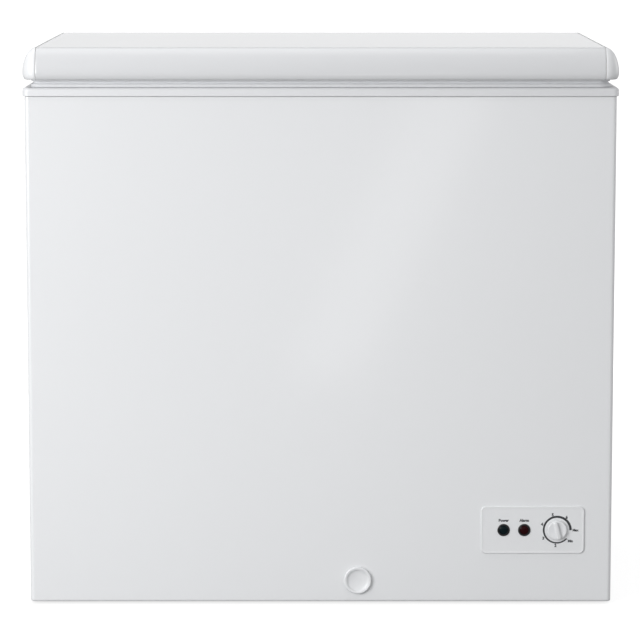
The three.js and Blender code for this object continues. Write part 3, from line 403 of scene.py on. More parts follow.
on_front = quad_middle[..., 1] < skin_front + 0.001
on_right = quad_middle[..., 0] > skin_side - 0.001
pierced = on_front & within(0, panel_xs) & within(2, panel_zs)
pierced |= on_front & within(0, drain_xs) & within(2, drain_zs)
pierced |= on_right & within(1, vent_ys) & within(2, vent_zs)
skin = make_piece("cabinet_skin", sheet_grid(skin_lines, drop=pierced), enamel, "cabinet",
                  ["outer_shell"])
thicken(skin, SKIN)


# ---------------------------------------------------------------- rear panel, base and feet
# The back is a painted sheet behind the skin's flanges. Galvanised pans close the base, and four
# moulded feet are pushed into them.


def refined(node, material, body, width=0.0004, segments=2, sharp=35):
    """A welded copy of a CAD node whose flat faces are made whole, so that its edges can be rounded."""
    welded = bmesh.new()
    welded.from_mesh(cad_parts[node].data)
    bmesh.ops.remove_doubles(welded, verts=welded.verts, dist=1e-6)
    bmesh.ops.dissolve_limit(welded, angle_limit=np.radians(0.4), verts=welded.verts, edges=welded.edges)
    points = [vertex.co[:] for vertex in welded.verts]
    faces = [[vertex.index for vertex in face.verts] for face in welded.faces]
    welded.free()
    piece = make_piece(node + "_finished", (points, faces), material, body, [node], sharp)
    if width:
        round_edges(piece, width, segments)
    return piece


def dress(node, material):
    """A CAD node that shows as it is, or only through an opening, gets its finish."""
    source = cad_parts[node]
    source.data.materials.clear()
    source.data.materials.append(material)


def zinc_spangle(name, tone):
    """Hot-dip zinc: crystals a few millimetres wide that each reflect a little differently."""
    material = finish_of(name, (tone, tone * 1.015, tone * 1.03), 0.42, metallic=0.85, drift=0.03, clouds=9)
    tree = material.node_tree
    link = tree.links.new
    shader = tree.nodes["Principled BSDF"]
    vary = next(n for n in tree.nodes if n.type == "GROUP")
    place = new_node(tree, "TexCoord")
    crystals = new_node(tree, "TexVoronoi", {"Scale": 130})
    grey = new_node(tree, "SeparateColor")
    spread = new_node(tree, "MapRange", {"To Min": 0.86, "To Max": 1.08})
    tinted = new_node(tree, "VectorMath", operation="SCALE")
    rough = new_node(tree, "Math", operation="MULTIPLY")
    link(place.outputs["Object"], crystals.inputs["Vector"])
    link(crystals.outputs["Color"], grey.inputs["Color"])
    link(grey.outputs["Red"], spread.inputs["Value"])
    link(vary.outputs["Colour"], tinted.inputs[0])
    link(spread.outputs["Result"], tinted.inputs["Scale"])
    link(vary.outputs["Roughness"], rough.inputs[0])
    link(spread.outputs["Result"], rough.inputs[1])
    link(tinted.outputs[0], shader.inputs["Base Color"])
    link(rough.outputs[0], shader.inputs["Roughness"])
    return material


def pebbled(scale, depth):
    """A moulded or embossed grain of small rounded cells, as a relief."""

    def relief(tree):
        place = new_node(tree, "TexCoord")
        cells = new_node(tree, "TexVoronoi", {"Scale": scale})
        cells.feature = "SMOOTH_F1"
        tree.links.new(place.outputs["Object"], cells.inputs["Vector"])
        return cells.outputs["Distance"], depth

    return relief


galvanised = zinc_spangle("galvanised_sheet", 0.55)
black_plastic = finish_of("black_moulding", (0.02, 0.02, 0.022), 0.5, pebbled(900, 0.00008), drift=0.15)
foam = finish_of("cut_foam", (0.78, 0.66, 0.34), 0.9, pebbled(420, 0.0006), drift=0.08, clouds=14)

refined("back_panel", enamel, "cabinet", 0.0002, 1)
for sheet_part in ("base_pan", "compressor_tray", "machine_bay_wall"):
    refined(sheet_part, galvanised, "cabinet", 0.0002, 1)
dress("cabinet_foam", foam)


def spun(profile, centre, facing=None, steps=40, widths=(1, 1)):
    """A surface of revolution about a centre: (radius, height) pairs swept round, with radius scaled by
    widths across and along. It is drawn looking down on its front, then turned by the facing matrix."""
    profile = np.asarray(profile, float)
    a = np.linspace(0, 2 * np.pi, steps, endpoint=False)
    radius, height = profile[:, 0][:, None], profile[:, 1][:, None]
    lines = np.stack([
        widths[0] * radius * np.cos(a),
        widths[1] * radius * np.sin(a),
        np.broadcast_to(height, (len(profile), steps)),
    ], axis=-1)
    points, faces = sheet_grid(lines, closed=True, ends=2)
    return (points if facing is None else points @ facing) + centre, faces


FOOT_PROFILE = [(0.0136, 0.0), (0.0150, 0.0003), (0.016, 0.0012), (0.016, 0.0030), (0.0155, 0.0037),
                (0.0148, 0.004), (0.005, 0.004), (0.005, 0.0108), (0.0042, 0.012)]
for foot in ("foot_front_left", "foot_front_right", "foot_rear_left", "foot_rear_right"):
    low, high = np.array(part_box(foot))
    at = ((low[0] + high[0]) / 2, (low[1] + high[1]) / 2, 0)
    make_piece(foot + "_moulding", spun(FOOT_PROFILE, at, steps=32), black_plastic, "cabinet",
               [foot])


# ---------------------------------------------------------------- compressor bay
# A welded steel compressor on rubber grommets, with its relay box, brazed copper lines and drier, stands
# in the rear right corner. A slotted galvanised cover closes it behind and a moulded grille beside.


def drawn_tube(name, colour, roughness):
    """Soft metal tube: a fine grain over a tone and a polish that drift in clouds, as handling leaves."""
    return finish_of(name, colour, roughness, metallic=1.0, drift=0.12, clouds=22, smears=0.1, grain=700,
                     height=0.00003)


copper = drawn_tube("copper_tube", (0.72, 0.36, 0.2), 0.33)
steel_tube = drawn_tube("zinc_plated_steel", (0.62, 0.63, 0.64), 0.34)
black_paint = finish_of("black_enamel", (0.016, 0.016, 0.018), 0.32, coat=0.2, drift=0.2, grain=500,
                        height=0.00004)
black_rubber = finish_of("black_rubber", (0.022, 0.022, 0.023), 0.75, drift=0.2, smears=0.08)
satin_white = finish_of("white_moulding", (0.79, 0.80, 0.815), 0.36, drift=0.01, smears=0.05, grain=1400,
                        height=0.00002)

shell_low, shell_high = np.array(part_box("compressor_upper_shell"))
bowl_low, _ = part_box("compressor_lower_shell")
shell_centre = np.array([*((shell_low + shell_high) / 2)[:2], 0])
shell_half = (shell_high - shell_low)[:2] / 2
SEAM = shell_low[2]


def dome(z_seam, z_end, squareness, scale):
    """(scale, z) from the seam to the pole of a superellipse: scale (1 - t^s)^(1/s), t the height."""
    t = np.sin(np.linspace(0, np.pi / 2, 15))[:-1]
    return np.column_stack([scale * (1 - t**squareness) ** (1 / squareness), z_seam + t * (z_end - z_seam)])


bowl = np.concatenate([
    dome(SEAM - 0.012, bowl_low[2], 2.6, 0.965)[::-1],
    [(0.965, SEAM - 0.0045), (0.998, SEAM - 0.0035), (0.998, SEAM - 0.0004)],
])
lid_of_shell = np.concatenate([
    [(0.998, SEAM), (1.0, SEAM + 0.0006), (1.0, SEAM + 0.006), (0.985, SEAM + 0.0075)],
    dome(SEAM + 0.010, shell_high[2], 2.5, 0.975),
])
make_piece("compressor_bowl", spun(bowl, shell_centre, widths=shell_half), black_paint, "cabinet",
           ["compressor_lower_shell"])
make_piece("compressor_dome", spun(lid_of_shell, shell_centre, widths=shell_half), black_paint, "cabinet",
           ["compressor_upper_shell"])
refined("compressor_mount_plate", black_paint, "cabinet")
for number in (1, 2, 3, 4):
    refined(f"compressor_grommet_{number}", black_rubber, "cabinet", 0.0006)
refined("relay_cover", black_plastic, "cabinet", 0.002, 3)
refined("filter_drier", copper, "cabinet", 0)
for line in ("capillary_tube", "suction_line", "discharge_line"):
    refined(line, copper, "cabinet", 0, sharp=60)
for line in ("evaporator_tube", "sensor_tube"):
    dress(line, copper)
dress("condenser_tube", steel_tube)
refined("compressor_cover", galvanised, "cabinet", 0.0003, 1)
refined("cable_gland", black_rubber, "cabinet", 0.0008)
refined("side_grille", satin_white, "cabinet", 0.0008, 3)


# ---------------------------------------------------------------- inner liner
# A tub of white lacquered sheet with a fine stucco emboss. It stands on the foam, steps up over the
# compressor bay, and its upper edge is held in the lip of the top frame.

TUB_CORNER = 0.028
TUB_BEND = 0.012
LINER = 0.0015
stucco = finish_of("lacquered_stucco_sheet", (0.84, 0.85, 0.855), 0.32, pebbled(330, 0.00035), coat=0.1,
                   drift=0.012)

(tub_left, tub_front, tub_floor), (tub_right, tub_back, tub_top) = np.array(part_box("inner_liner")) + [
    (LINER, LINER, LINER),
    (-LINER, -LINER, 0),
]
STEP_X, STEP_Z = 0.171, 0.325  # where the deep floor ends, and the height of the step over the bay


def tub_shape():
    """Two bands of wall, one above the other on rounded rectangles that share their left end, then the
    floor of the lower one and, between the two rectangles, the shelf over the bay."""
    corner = 9
    wide = ring(tub_left, tub_right, tub_front, tub_back, TUB_CORNER, STEP_Z, corner - 1)
    deep = ring(tub_left, STEP_X, tub_front, tub_back, TUB_CORNER, STEP_Z, corner - 1)
    right, left = 2 * corner, 4 * corner
    rim = np.concatenate([wide[:right], deep[right - 1 : right], wide[right:left], deep[:1]])
    n, m = len(rim), len(deep)
    points = np.concatenate([rim, rim + (0, 0, tub_top - STEP_Z), deep + (0, 0, tub_floor - STEP_Z), deep])
    here = np.arange(n)
    after = np.roll(here, -1)
    mouth = np.concatenate([[n - 1], 2 * n + m + np.arange(1, right - 1), np.arange(right, n - 1)])
    base = 2 * n + np.arange(m)
    walls = np.stack([here, n + here, n + after, after], axis=1).tolist()
    walls += np.stack([base, mouth, np.roll(mouth, -1), np.roll(base, -1)], axis=1).tolist()
    shelf = [n - 1, *range(right + 1), *mouth[right - 2 : 0 : -1].tolist()]
    return points, [*walls, base.tolist(), shelf]


liner_tub = make_piece("inner_liner_tub", tub_shape(), stucco, "cabinet", ["inner_liner"])
round_edges(liner_tub, TUB_BEND, 4).modifiers[-1].use_clamp_overlap = False
thicken(liner_tub, LINER)


# ---------------------------------------------------------------- drain
# A moulded bung closes the low drain in front, over a collar on the skin. A soft plug closes its
# mouth in the liner's floor.

FRONT = np.array([[1, 0, 0], [0, 0, 1], [0, -1, 0]])  # drawn flat, then stood up to face the front
BACK = np.array([[-1, 0, 0], [0, 0, 1], [0, 1, 0]])

skin_point = np.array([drain_centre[0], skin_front, drain_centre[2]])
COLLAR = [(0.0125, -0.003), (0.0205, -0.003), (0.0205, 0.0), (0.0202, 0.0002), (0.0130, 0.0002),
          (0.0125, 0.0)]


def spun_ring(profile, centre, facing=None, steps=48):
    """A closed ring: a closed section of (radius, height) pairs swept round the centre."""
    points, _ = spun(profile, centre, facing, steps)
    return sheet_grid(points.reshape(len(profile), steps, 3), closed=True, looped=True)


make_piece("drain_collar", spun_ring(COLLAR, skin_point, FRONT), satin_white, "cabinet")

BUNG = np.concatenate([
    [(0.0085, -0.018), (0.0092, -0.0172), (0.0094, -0.004), (0.0094, 0.0004), (0.0207, 0.0004)],
    arc(0.0203, 0.0016, 0.0012, 270, 350, 4),
    [(0.0212, 0.0022)],
    arc(0.0194, 0.0036, 0.0014, 10, 115, 6),
    arc(0.0175, 0.0040, 0.0008, 80, 175, 4)[1:],
    [(0.0158, 0.0031), (0.0135, 0.00235), (0.0105, 0.0018), (0.0070, 0.0014), (0.0030, 0.0012),
     (0.0006, 0.00115)],
])
make_piece("drain_bung", spun(BUNG, skin_point, FRONT, 64), satin_white, "drain_cap",
           ["drain_cap"])
dress("drain_tube", satin_white)

grey_rubber = finish_of("grey_rubber", (0.72, 0.73, 0.75), 0.62, drift=0.02, smears=0.05, grain=900,
                        height=0.00004)
plug_low, plug_high = np.array(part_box("drain_plug"))
plug_at = np.array([*((plug_low + plug_high) / 2)[:2], plug_low[2]])
PLUG = [(0.0080, 0.0), (0.0090, 0.0008), (0.0096, 0.0150), (0.0172, 0.0164), (0.0180, 0.0172),
        (0.0180, 0.0182), (0.0170, 0.0192), (0.0080, 0.0198), (0.0050, 0.0202), (0.0046, 0.0250),
        (0.0064, 0.0258), (0.0064, 0.0266), (0.0054, 0.0270)]
make_piece("drain_plug_moulding", spun(PLUG, plug_at), grey_rubber, "drain_plug",
           ["drain_plug"])


# ---------------------------------------------------------------- top frame
# A one-piece white moulding round the mouth: a rounded bead over the skin's edge, the land that the
# gasket closes on, and a step inside that carries the basket and grips the liner.


def frame_lines(section, steps=6):
    """The ring section: each row is how far it stands in from the skin at the front and sides, how far
    at the back, its height and its corner radius."""
    return np.stack([
        ring(-skin_side + u, skin_side - u, skin_front + u, skin_back - rear, r, z, steps)
        for u, rear, z, r in section
    ])


(_, _, lip_z), (_, _, land_z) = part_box("top_frame")
LEDGE_Z = 0.776
BEAD = 0.0045
FRAME_WALL = 0.0017
bead = arc(-0.003 + BEAD, land_z - BEAD, BEAD, 180, 90, 8)
rim_curve = arc(0.0475, land_z - 0.0025, 0.0025, 90, 0, 5)
nose = arc(0.0583, LEDGE_Z - 0.0017, 0.0017, 90, 0, 4)
section = [
    (-0.0012, 0.0, 0.7830, 0.007),
    (-0.0026, 0.0, 0.7830, 0.0085),
    (-0.003, 0.0, 0.7834, 0.009),
    *[(u, max(u, 0.0), z, 0.0085 - 0.4 * u) for u, z in bead],
    (0.0030, 0.0030, land_z, 0.008),
    (0.0460, 0.0460, land_z, 0.010),
    *[(u, u, z, 0.010) for u, z in rim_curve],
    (0.0500, 0.0500, land_z - 0.004, 0.010),
    (0.0500, 0.0500, LEDGE_Z + 0.0035, 0.012),
    (0.0500, 0.0500, LEDGE_Z + 0.002, 0.012),
    (0.0506, 0.0506, LEDGE_Z + 0.0006, 0.013),
    (0.0520, 0.0520, LEDGE_Z, 0.014),
    *[(u, u, z, 0.020) for u, z in nose],
    (0.0600, 0.0600, lip_z, 0.022),
]
# The frame's white is the white moulding made darker: painted shade, so that the trim under the lid's edge
# reads darker than the cabinet.
painted_shade_frame_white = finish_of("frame_moulding", (0.735, 0.743, 0.762), 0.36, drift=0.01, smears=0.05, grain=1400,
                        height=0.00002)
top_frame = make_piece("top_frame_moulding", sheet_grid(frame_lines(section), closed=True), painted_shade_frame_white,
                       "cabinet", ["top_frame"], sharp=40)
thicken(top_frame, FRAME_WALL)


# ---------------------------------------------------------------- control panel
# A shallow moulded plate clipped into the skin, with a fine raised rim. Two unlit lamps and the
# thermostat's dial sit in it, and its marks are pad printed.

panel_middle = (panel_low + panel_high) / 2
half_width, half_height = ((panel_high - panel_low) / 2)[[0, 2]]
panel_face = np.array([panel_middle[0], panel_low[1], panel_middle[2]])


def plate_rows(section):
    """Rounded rectangles of the panel: each row is how far it stands in from the edge, its height
    behind or before the face, and its corner radius."""
    return np.stack([
        ring(-half_width + u, half_width - u, -half_height + u, half_height - u, r, z)
        for u, z, r in section
    ])


PANEL_DISH = 0.0003  # how far its face lies below its rim
PANEL_SECTION = [
    (0.0002, -0.0024, 0.0078), (0.0, -0.0014, 0.008), (0.0003, -0.0005, 0.0077),
    (0.0010, 0.0, 0.0070), (0.0019, 0.0, 0.0061), (0.0026, -0.00016, 0.0055),
    (0.0034, -PANEL_DISH, 0.0048), (0.0060, -PANEL_DISH, 0.0030),
]
points, faces = sheet_grid(plate_rows(PANEL_SECTION), closed=True, ends=2)
make_piece("control_panel_plate", (points @ FRONT + panel_face, faces), satin_white, "cabinet",
           ["control_panel"], sharp=30)
PRINT_Y = panel_face[1] + PANEL_DISH  # where the ink lies

lamp_black = finish_of("lamp_bezel_black", (0.012, 0.012, 0.013), 0.3, drift=0.1)


def tinted_lens(name, colour):
    """A tinted lens over an unlit cavity: almost black, a little uneven, with a fine moulded grain."""
    material = finish_of(name, colour, 0.2, pebbled(1500, 0.00005), drift=0.25, clouds=260)
    material.node_tree.nodes["Principled BSDF"].inputs["Specular IOR Level"].default_value = 0.1
    return material


green_tint = tinted_lens("green_tinted_lens", (0.003, 0.010, 0.012))
red_tint = tinted_lens("red_tinted_lens", (0.022, 0.002, 0.003))
BEZEL = [(0.0066, -0.002), (0.0094, -0.002), (0.0096, 0.0006), (0.0092, 0.0011), (0.0083, 0.0014),
         (0.0073, 0.0012), (0.0068, 0.0004)]
LENS = [(0.0070, -0.002), (0.0070, 0.0002), (0.0062, 0.0008), (0.0048, 0.00125), (0.0030, 0.0015),
        (0.0012, 0.0016), (0.0003, 0.00162)]
for lamp_name, tint, colour_slot in (
    ("power_lamp_lens", green_tint, "green_lens"),
    ("alarm_lamp_lens", red_tint, "red_lens"),
):
    low, high = np.array(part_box(lamp_name))
    at = np.array([(low[0] + high[0]) / 2, PRINT_Y, (low[2] + high[2]) / 2])
    make_piece(lamp_name + "_bezel", spun_ring(BEZEL, at, FRONT, 40), lamp_black, "cabinet")
    make_piece(lamp_name + "_dome", spun(LENS, at, FRONT, 32), tint, "cabinet", [lamp_name])
dress("lamp_holder", black_plastic)
dress("thermostat_body", galvanised)
dress("thermostat_shaft", steel_tube)

knob_low, knob_high = np.array(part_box("thermostat_knob"))
knob_at = np.array([(knob_low[0] + knob_high[0]) / 2, knob_high[1], (knob_low[2] + knob_high[2]) / 2])
KNOB_LEAN = np.radians(14)
knob_grey = finish_of("dial_moulding", (0.80, 0.81, 0.825), 0.3, coat=0.2, drift=0.02, grain=1500)
KNOB = np.concatenate([
    [(0.0140, 0.0), (0.0150, 0.0002), (0.0152, 0.0008), (0.0150, 0.0028)],
    arc(0.0136, 0.0026, 0.0013, 10, 80, 5),
    [(0.0122, 0.0038), (0.0090, 0.0033), (0.0050, 0.0030), (0.0004, 0.0029)],
])


def knob_grip():
    """The ridge across the dial: rounded bars, each as large as the one behind it or smaller."""
    rows = [(0.0036, 0.0137, 0.0022), (0.0034, 0.0137, 0.0060), (0.0030, 0.0134, 0.0071),
            (0.0024, 0.0130, 0.0077), (0.0014, 0.0120, 0.0080)]
    lines = np.stack([ring(-w, w, -l, l, w * 0.98, z, 5) for w, l, z in rows])
    points, faces = sheet_grid(lines, closed=True, ends=2)
    c, s = np.cos(KNOB_LEAN), np.sin(KNOB_LEAN)
    return points @ np.array([[c, s, 0], [-s, c, 0], [0, 0, 1]]) @ FRONT + knob_at, faces


make_piece("thermostat_dial", joined(spun(KNOB, knob_at, FRONT, 64), knob_grip()), knob_grey, "dial",
           ["thermostat_knob"])

ink = finish_of("pad_printed_ink", (0.035, 0.037, 0.042), 0.45, drift=0.2, clouds=500)


INK = 0.00006  # thickness of the print


def flat_band(radii, angles):
    """A printed band as a thin solid: between an inner and an outer radius at each angle, drawn flat."""
    a = np.radians(angles)
    rims = [np.column_stack([r * np.cos(a), r * np.sin(a)]) for r in radii]
    lines = np.stack([
        np.column_stack([rim, np.full(len(a), z)])
        for rim, z in ((rims[0], 0), (rims[1], 0), (rims[1], INK), (rims[0], INK))
    ])
    points, faces = sheet_grid(lines, looped=True)
    n = len(a)
    corners = np.arange(4) * n
    return points, [*faces, corners.tolist(), (corners + n - 1)[::-1].tolist()]


def flat_bars(bars, thickness=INK):
    """Short strokes: (x, y, length, width, angle) rounded bars as thin solids, drawn flat."""
    shapes = []
    for x, y, length, width, angle in bars:
        rows = [ring(-length / 2, length / 2, -width / 2, width / 2, width * 0.3, z, 2)
                for z in (0, thickness)]
        points, faces = sheet_grid(np.stack(rows), closed=True, ends=2)
        c, s = np.cos(np.radians(angle)), np.sin(np.radians(angle))
        turned = points @ np.array([[c, s, 0], [-s, c, 0], [0, 0, 1]])
        shapes.append((turned + (x, y, 0), faces))
    return joined(*shapes)


dial_at = (knob_at[0], PRINT_Y, knob_at[2])


def printed(name, shape):
    """Ink on the panel's face, drawn flat about the dial's centre."""
    points, faces = shape
    make_piece(name, (points @ FRONT + dial_at, faces), ink, "cabinet")


DIAL_MARK = 0.0190  # radius of the printed arc's inner edge


def lettering(name, words, size):
    """Printed words as thin solids: each (text, x, z) is set in the built-in face, centred on its
    point, and made into a mesh before it is placed."""
    shapes = []
    for text, x, z in words:
        curve = bpy.data.curves.new(name, "FONT")
        curve.body = text
        curve.size = size
        curve.extrude = INK / 2
        curve.offset = size * 0.055
        curve.align_x, curve.align_y = "CENTER", "CENTER"
        curve.resolution_u = 2
        letters = bpy.data.objects.new(name + "_curve", curve)
        flat = bpy.data.meshes.new_from_object(letters)
        points = np.array([vertex.co for vertex in flat.vertices])
        shapes.append((points + (x, z, INK / 2), [list(face.vertices) for face in flat.polygons]))
        bpy.data.objects.remove(letters)
        bpy.data.meshes.remove(flat)
    return joined(*shapes)


def on_circle(radius, angle):
    """The point of a circle about the dial's centre at an angle in degrees."""
    return radius * np.cos(np.radians(angle)), radius * np.sin(np.radians(angle))


ARC_MIN, ARC_MAX, ARC_POINTS = -42, -360, 97
arc_inner = np.full(ARC_POINTS, DIAL_MARK)
arc_outer = DIAL_MARK + 0.0020 + np.linspace(0.0018, 0, ARC_POINTS)  # wide at Max, narrow at Min
printed("dial_arc", flat_band((arc_inner, arc_outer), np.linspace(ARC_MAX, ARC_MIN, ARC_POINTS)))
TICK_RADIUS = DIAL_MARK + 0.0018
tick_angles = np.linspace(ARC_MIN, ARC_MAX, 7)
printed("dial_ticks", flat_bars([(*on_circle(TICK_RADIUS, a), 0.0030, 0.0006, a) for a in tick_angles]))
NUMBER_RADIUS = 0.0246
numbers = [(str(i + 2), *on_circle(NUMBER_RADIUS, a)) for i, a in enumerate(tick_angles[1:-1])]
printed("dial_numbers", lettering("dial_numbers", numbers, 0.0062))
ends = [("Min", 0.0208, -0.0174), ("Max", 0.0284, -0.0004)]
printed("dial_ends", lettering("dial_ends", ends, 0.0052))

lamp_xs = [np.mean([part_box(n)[0][0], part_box(n)[1][0]]) for n in ("power_lamp_lens", "alarm_lamp_lens")]
LABEL_RISE = 0.0148
labels = [(word, x - dial_at[0], LABEL_RISE) for word, x in zip(("Power", "Alarm"), lamp_xs)]
printed("lamp_labels", lettering("lamp_labels", labels, 0.0058))


# ---------------------------------------------------------------- lid
# An enamelled sheet rolled over the front is closed at each end by a moulded cap. A vacuum-formed pan
# closes it below over the foam, and carries the gasket.

(_, lid_front, lid_bottom), (lid_end, lid_back, lid_top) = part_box("lid_panel")
(cap_inner, _, _), (cap_outer, _, _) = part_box("lid_end_cap_right")
SHOULDER = 0.818  # height at which the lid is widest
UNDER_ROLL = 0.005
TOP_ROLL = 0.021
LID_SHEET, CAP_WALL = 0.0008, 0.0005  # thicknesses


def ellipse(cx, cz, rx, rz, start, end, steps):
    """Points of an ellipse, between two angles in degrees: centre plus (rx cos, rz sin)."""
    return arc(0, 0, 1, start, end, steps) * (rx, rz) + (cx, cz)


LID_INSETS = np.concatenate([
    [(0.0110, lid_bottom), (0.0062, lid_bottom)],
    ellipse(UNDER_ROLL, SHOULDER, UNDER_ROLL, SHOULDER - lid_bottom, 270, 180, 6),
    ellipse(TOP_ROLL, SHOULDER, TOP_ROLL, lid_top - SHOULDER, 180, 90, 22)[1:],
])
sheet_path = np.concatenate([
    LID_INSETS + (lid_front, 0),
    [(y, lid_top) for y in (-0.257, -0.16, 0.05, 0.2, lid_back - 0.005)],
    arc(lid_back - 0.003, lid_top - 0.003, 0.003, 90, 0, 5),
    [(lid_back, lid_bottom + 0.02), (lid_back, lid_bottom + 0.0005), (lid_back - 0.003, lid_bottom)],
])
# how far the sheet's end turns in at the seam, and how far from the end it does so
SEAM_TURN = [(0.0040, 0.0), (0.0010, 0.0), (0.0003, 0.0002), (0.0, 0.0008), (0.0, 0.0025)]
stations = [(-lid_end + back, inset) for inset, back in SEAM_TURN]
stations += [(x, 0.0) for x in (-0.25, -0.08, 0.08, 0.25)]
stations += [(-x, inset) for x, inset in stations[4::-1]]
panel_grid = offset_lines(sheet_path[::-1], np.array([(inset, x) for x, inset in stations]))
panel_lines = panel_grid[..., [2, 0, 1]]
# The lid's enamel is the cabinet's white enamel made darker: painted shade, so that the lid reads darker
# than the body.
painted_shade_lid_enamel = finish_of("white_lid_enamel", (0.68, 0.688, 0.704), 0.32, coat=0.3, drift=0.008, clouds=1.6,
                       smears=0.05, grain=900, height=0.00001)
lid_sheet = make_piece("lid_sheet", sheet_grid(panel_lines), painted_shade_lid_enamel, "lid",
                       ["lid_panel"], sharp=28)
thicken(lid_sheet, LID_SHEET)

CAP_WIDTH = cap_outer - cap_inner


def cap_lines():
    """The end cap's outline drawn at each height of the lid's section: along the front corner, whose
    radius shrinks as the section leans in, then back along the side and round to the flat back."""
    rows = []
    tight = np.clip(LID_INSETS, None, [CAP_WIDTH - 0.0004, 1])
    for inset, z in tight:
        r = CAP_WIDTH - inset
        side = cap_inner + r
        corner = arc(cap_inner, lid_front + CAP_WIDTH, r, 272, 360, 10)
        start = np.array([cap_inner, lid_front + inset])
        turn_in = min(0.004, r)
        edge = 0.05 * turn_in
        bend = min(0.002, 0.8 * r)
        outline = np.concatenate([
            [start + (0, turn_in), start + (0, 3 * edge), start + (edge, edge)],
            corner,
            [(side, y) for y in (-0.2575, -0.16, 0.0, 0.16, lid_back - 0.004)],
            arc(side - bend, lid_back - bend, bend, 0, 90, 4),
            [(cap_inner + edge, lid_back), (cap_inner, lid_back - turn_in)],
        ])
        rows.append(np.column_stack([outline, np.full(len(outline), z)]))
    return np.stack(rows)


right_cap = cap_lines()
left_cap = (right_cap * (-1, 1, 1))[:, ::-1]
for cap_name, lines in (("lid_end_cap_right", right_cap), ("lid_end_cap_left", left_cap)):
    cap = make_piece(cap_name + "_moulding", sheet_grid(lines), satin_white, "lid",
                     [cap_name], sharp=40)
    thicken(cap, CAP_WALL)
dress("lid_foam", foam)

# The pan is drawn from its middle outwards, so that its face looks down into the freezer.
formed_white = finish_of("vacuum_formed_sheet", (0.80, 0.81, 0.82), 0.38, pebbled(700, 0.00008),
                         drift=0.012)
(pan_side, _, _), _ = np.abs(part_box("lid_liner"))
PAN = {"x": 0.370, "front": -0.191, "back": 0.179, "corner": 0.020}


def pan_row(out, z, r):
    """A ring of the pan: out is how far it stands outside the pan's own walls."""
    return ring(-PAN["x"] - out, PAN["x"] + out, PAN["front"] - out, PAN["back"] + out, r, z)


pan_rows = [
    pan_row(-0.150, 0.7882, 0.004), pan_row(-0.110, 0.7882, 0.006), pan_row(-0.106, 0.7884, 0.008),
    pan_row(-0.101, 0.7898, 0.010), pan_row(-0.096, 0.7900, 0.010), pan_row(-0.030, 0.7900, 0.012),
    pan_row(-0.025, 0.7898, 0.014), pan_row(-0.020, 0.7884, 0.015), pan_row(-0.016, 0.7882, 0.016),
    pan_row(-0.0060, 0.7882, 0.017),
    *[pan_row(-0.0060 + 0.006 * np.sin(t), 0.7942 - 0.006 * np.cos(t), 0.019 + 0.001 * np.sin(t))
      for t in np.radians(np.linspace(15, 90, 6))],
    pan_row(0.0, 0.8030, 0.020), pan_row(0.0008, 0.8062, 0.021), pan_row(0.0030, 0.8080, 0.023),
    pan_row(0.0050, 0.8080, 0.024),
    ring(-pan_side, pan_side, -0.2732, 0.2542, 0.014, lid_bottom),
]
make_piece("lid_pan", sheet_grid(np.stack(pan_rows), closed=True, ends=1), formed_white, "lid",
           ["lid_liner"], sharp=50)

# The gasket is a soft extrusion welded at its corners: a root in the lid, a bellows, and a flat head
# with the magnet strip in it.
(seal_side, seal_front, seal_low), (_, seal_back, _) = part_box("lid_gasket")
seal_side = abs(seal_side)
HEAD = 0.0050
SEAL = [  # (inset, height above the lowest face), anticlockwise
    (0.0012, 0.0), (0.0148, 0.0), (0.0158, 0.0008), (0.0160, 0.0018), (0.0158, 0.0040), (0.0148, HEAD),
    (0.0118, 0.0058), (0.0128, 0.0072), (0.0122, 0.0082), (0.0150, 0.0090), (0.0158, 0.0100),
    (0.0158, 0.0112), (0.0002, 0.0112), (0.0002, 0.0100), (0.0010, 0.0090), (0.0038, 0.0082),
    (0.0032, 0.0072), (0.0042, 0.0058), (0.0012, HEAD), (0.0002, 0.0040), (0.0, 0.0018), (0.0003, 0.0006),
]
seal_lines = np.stack([
    ring(-seal_side + u, seal_side - u, seal_front + u, seal_back - u, 0.018 - u, seal_low + z)
    for u, z in reversed(SEAL)
])
make_piece("lid_gasket_extrusion", sheet_grid(seal_lines, closed=True, looped=True), grey_rubber, "lid",
           ["lid_gasket"], sharp=50)


# ---------------------------------------------------------------- hinges
# Each is a galvanised channel screwed to the back, an arm screwed to the lid with a spiral cam, and a
# sprung plunger that follows the cam, under a clip-on cover.

for side in ("left", "right"):
    refined(f"hinge_base_{side}", galvanised, "cabinet", 0.0003)
    refined(f"hinge_arm_{side}", galvanised, "lid", 0.0003)
    refined(f"hinge_pin_{side}", steel_tube, "cabinet", 0.0004)
    refined(f"hinge_plunger_{side}", black_plastic, f"plunger_{side}", 0.0005)
    refined(f"hinge_cover_{side}", satin_white, "cabinet", 0.0012, 3)
    dress(f"hinge_spring_{side}", steel_tube)

SCREW = np.array([(0.0020, -0.001), (0.0038, -0.0002), (0.0038, 0.0002), (0.0035, 0.0009),
                  (0.0026, 0.0016), (0.0012, 0.0020), (0.0002, 0.0021)])


def screw_heads(places, facing):
    """Pan heads with a cross recess: a shallow dome at each place, and two short dark strokes on it, which
    are painted shade standing in for the hollow of the recess.
    """
    heads = joined(*[spun(SCREW, place, facing, 16) for place in places])
    points, faces = flat_bars([(0, 0, 0.0042, 0.0008, angle) for angle in (20, 110)], 0.0003)
    recess_shade = joined(*[((points + (0, 0, 0.00195)) @ facing + place, faces) for place in places])
    return heads, recess_shade


def add_screws(name, places, facing, body):
    """Screw heads as one piece, with the painted shade of their recesses in the second material."""
    heads, recess_shade = screw_heads(places, facing)
    piece = make_piece(name, joined(heads, recess_shade), steel_tube, body)
    piece.data.materials.append(lamp_black)
    second = np.arange(len(piece.data.polygons)) >= len(heads[1])
    piece.data.polygons.foreach_set("material_index", second.astype(np.int32))


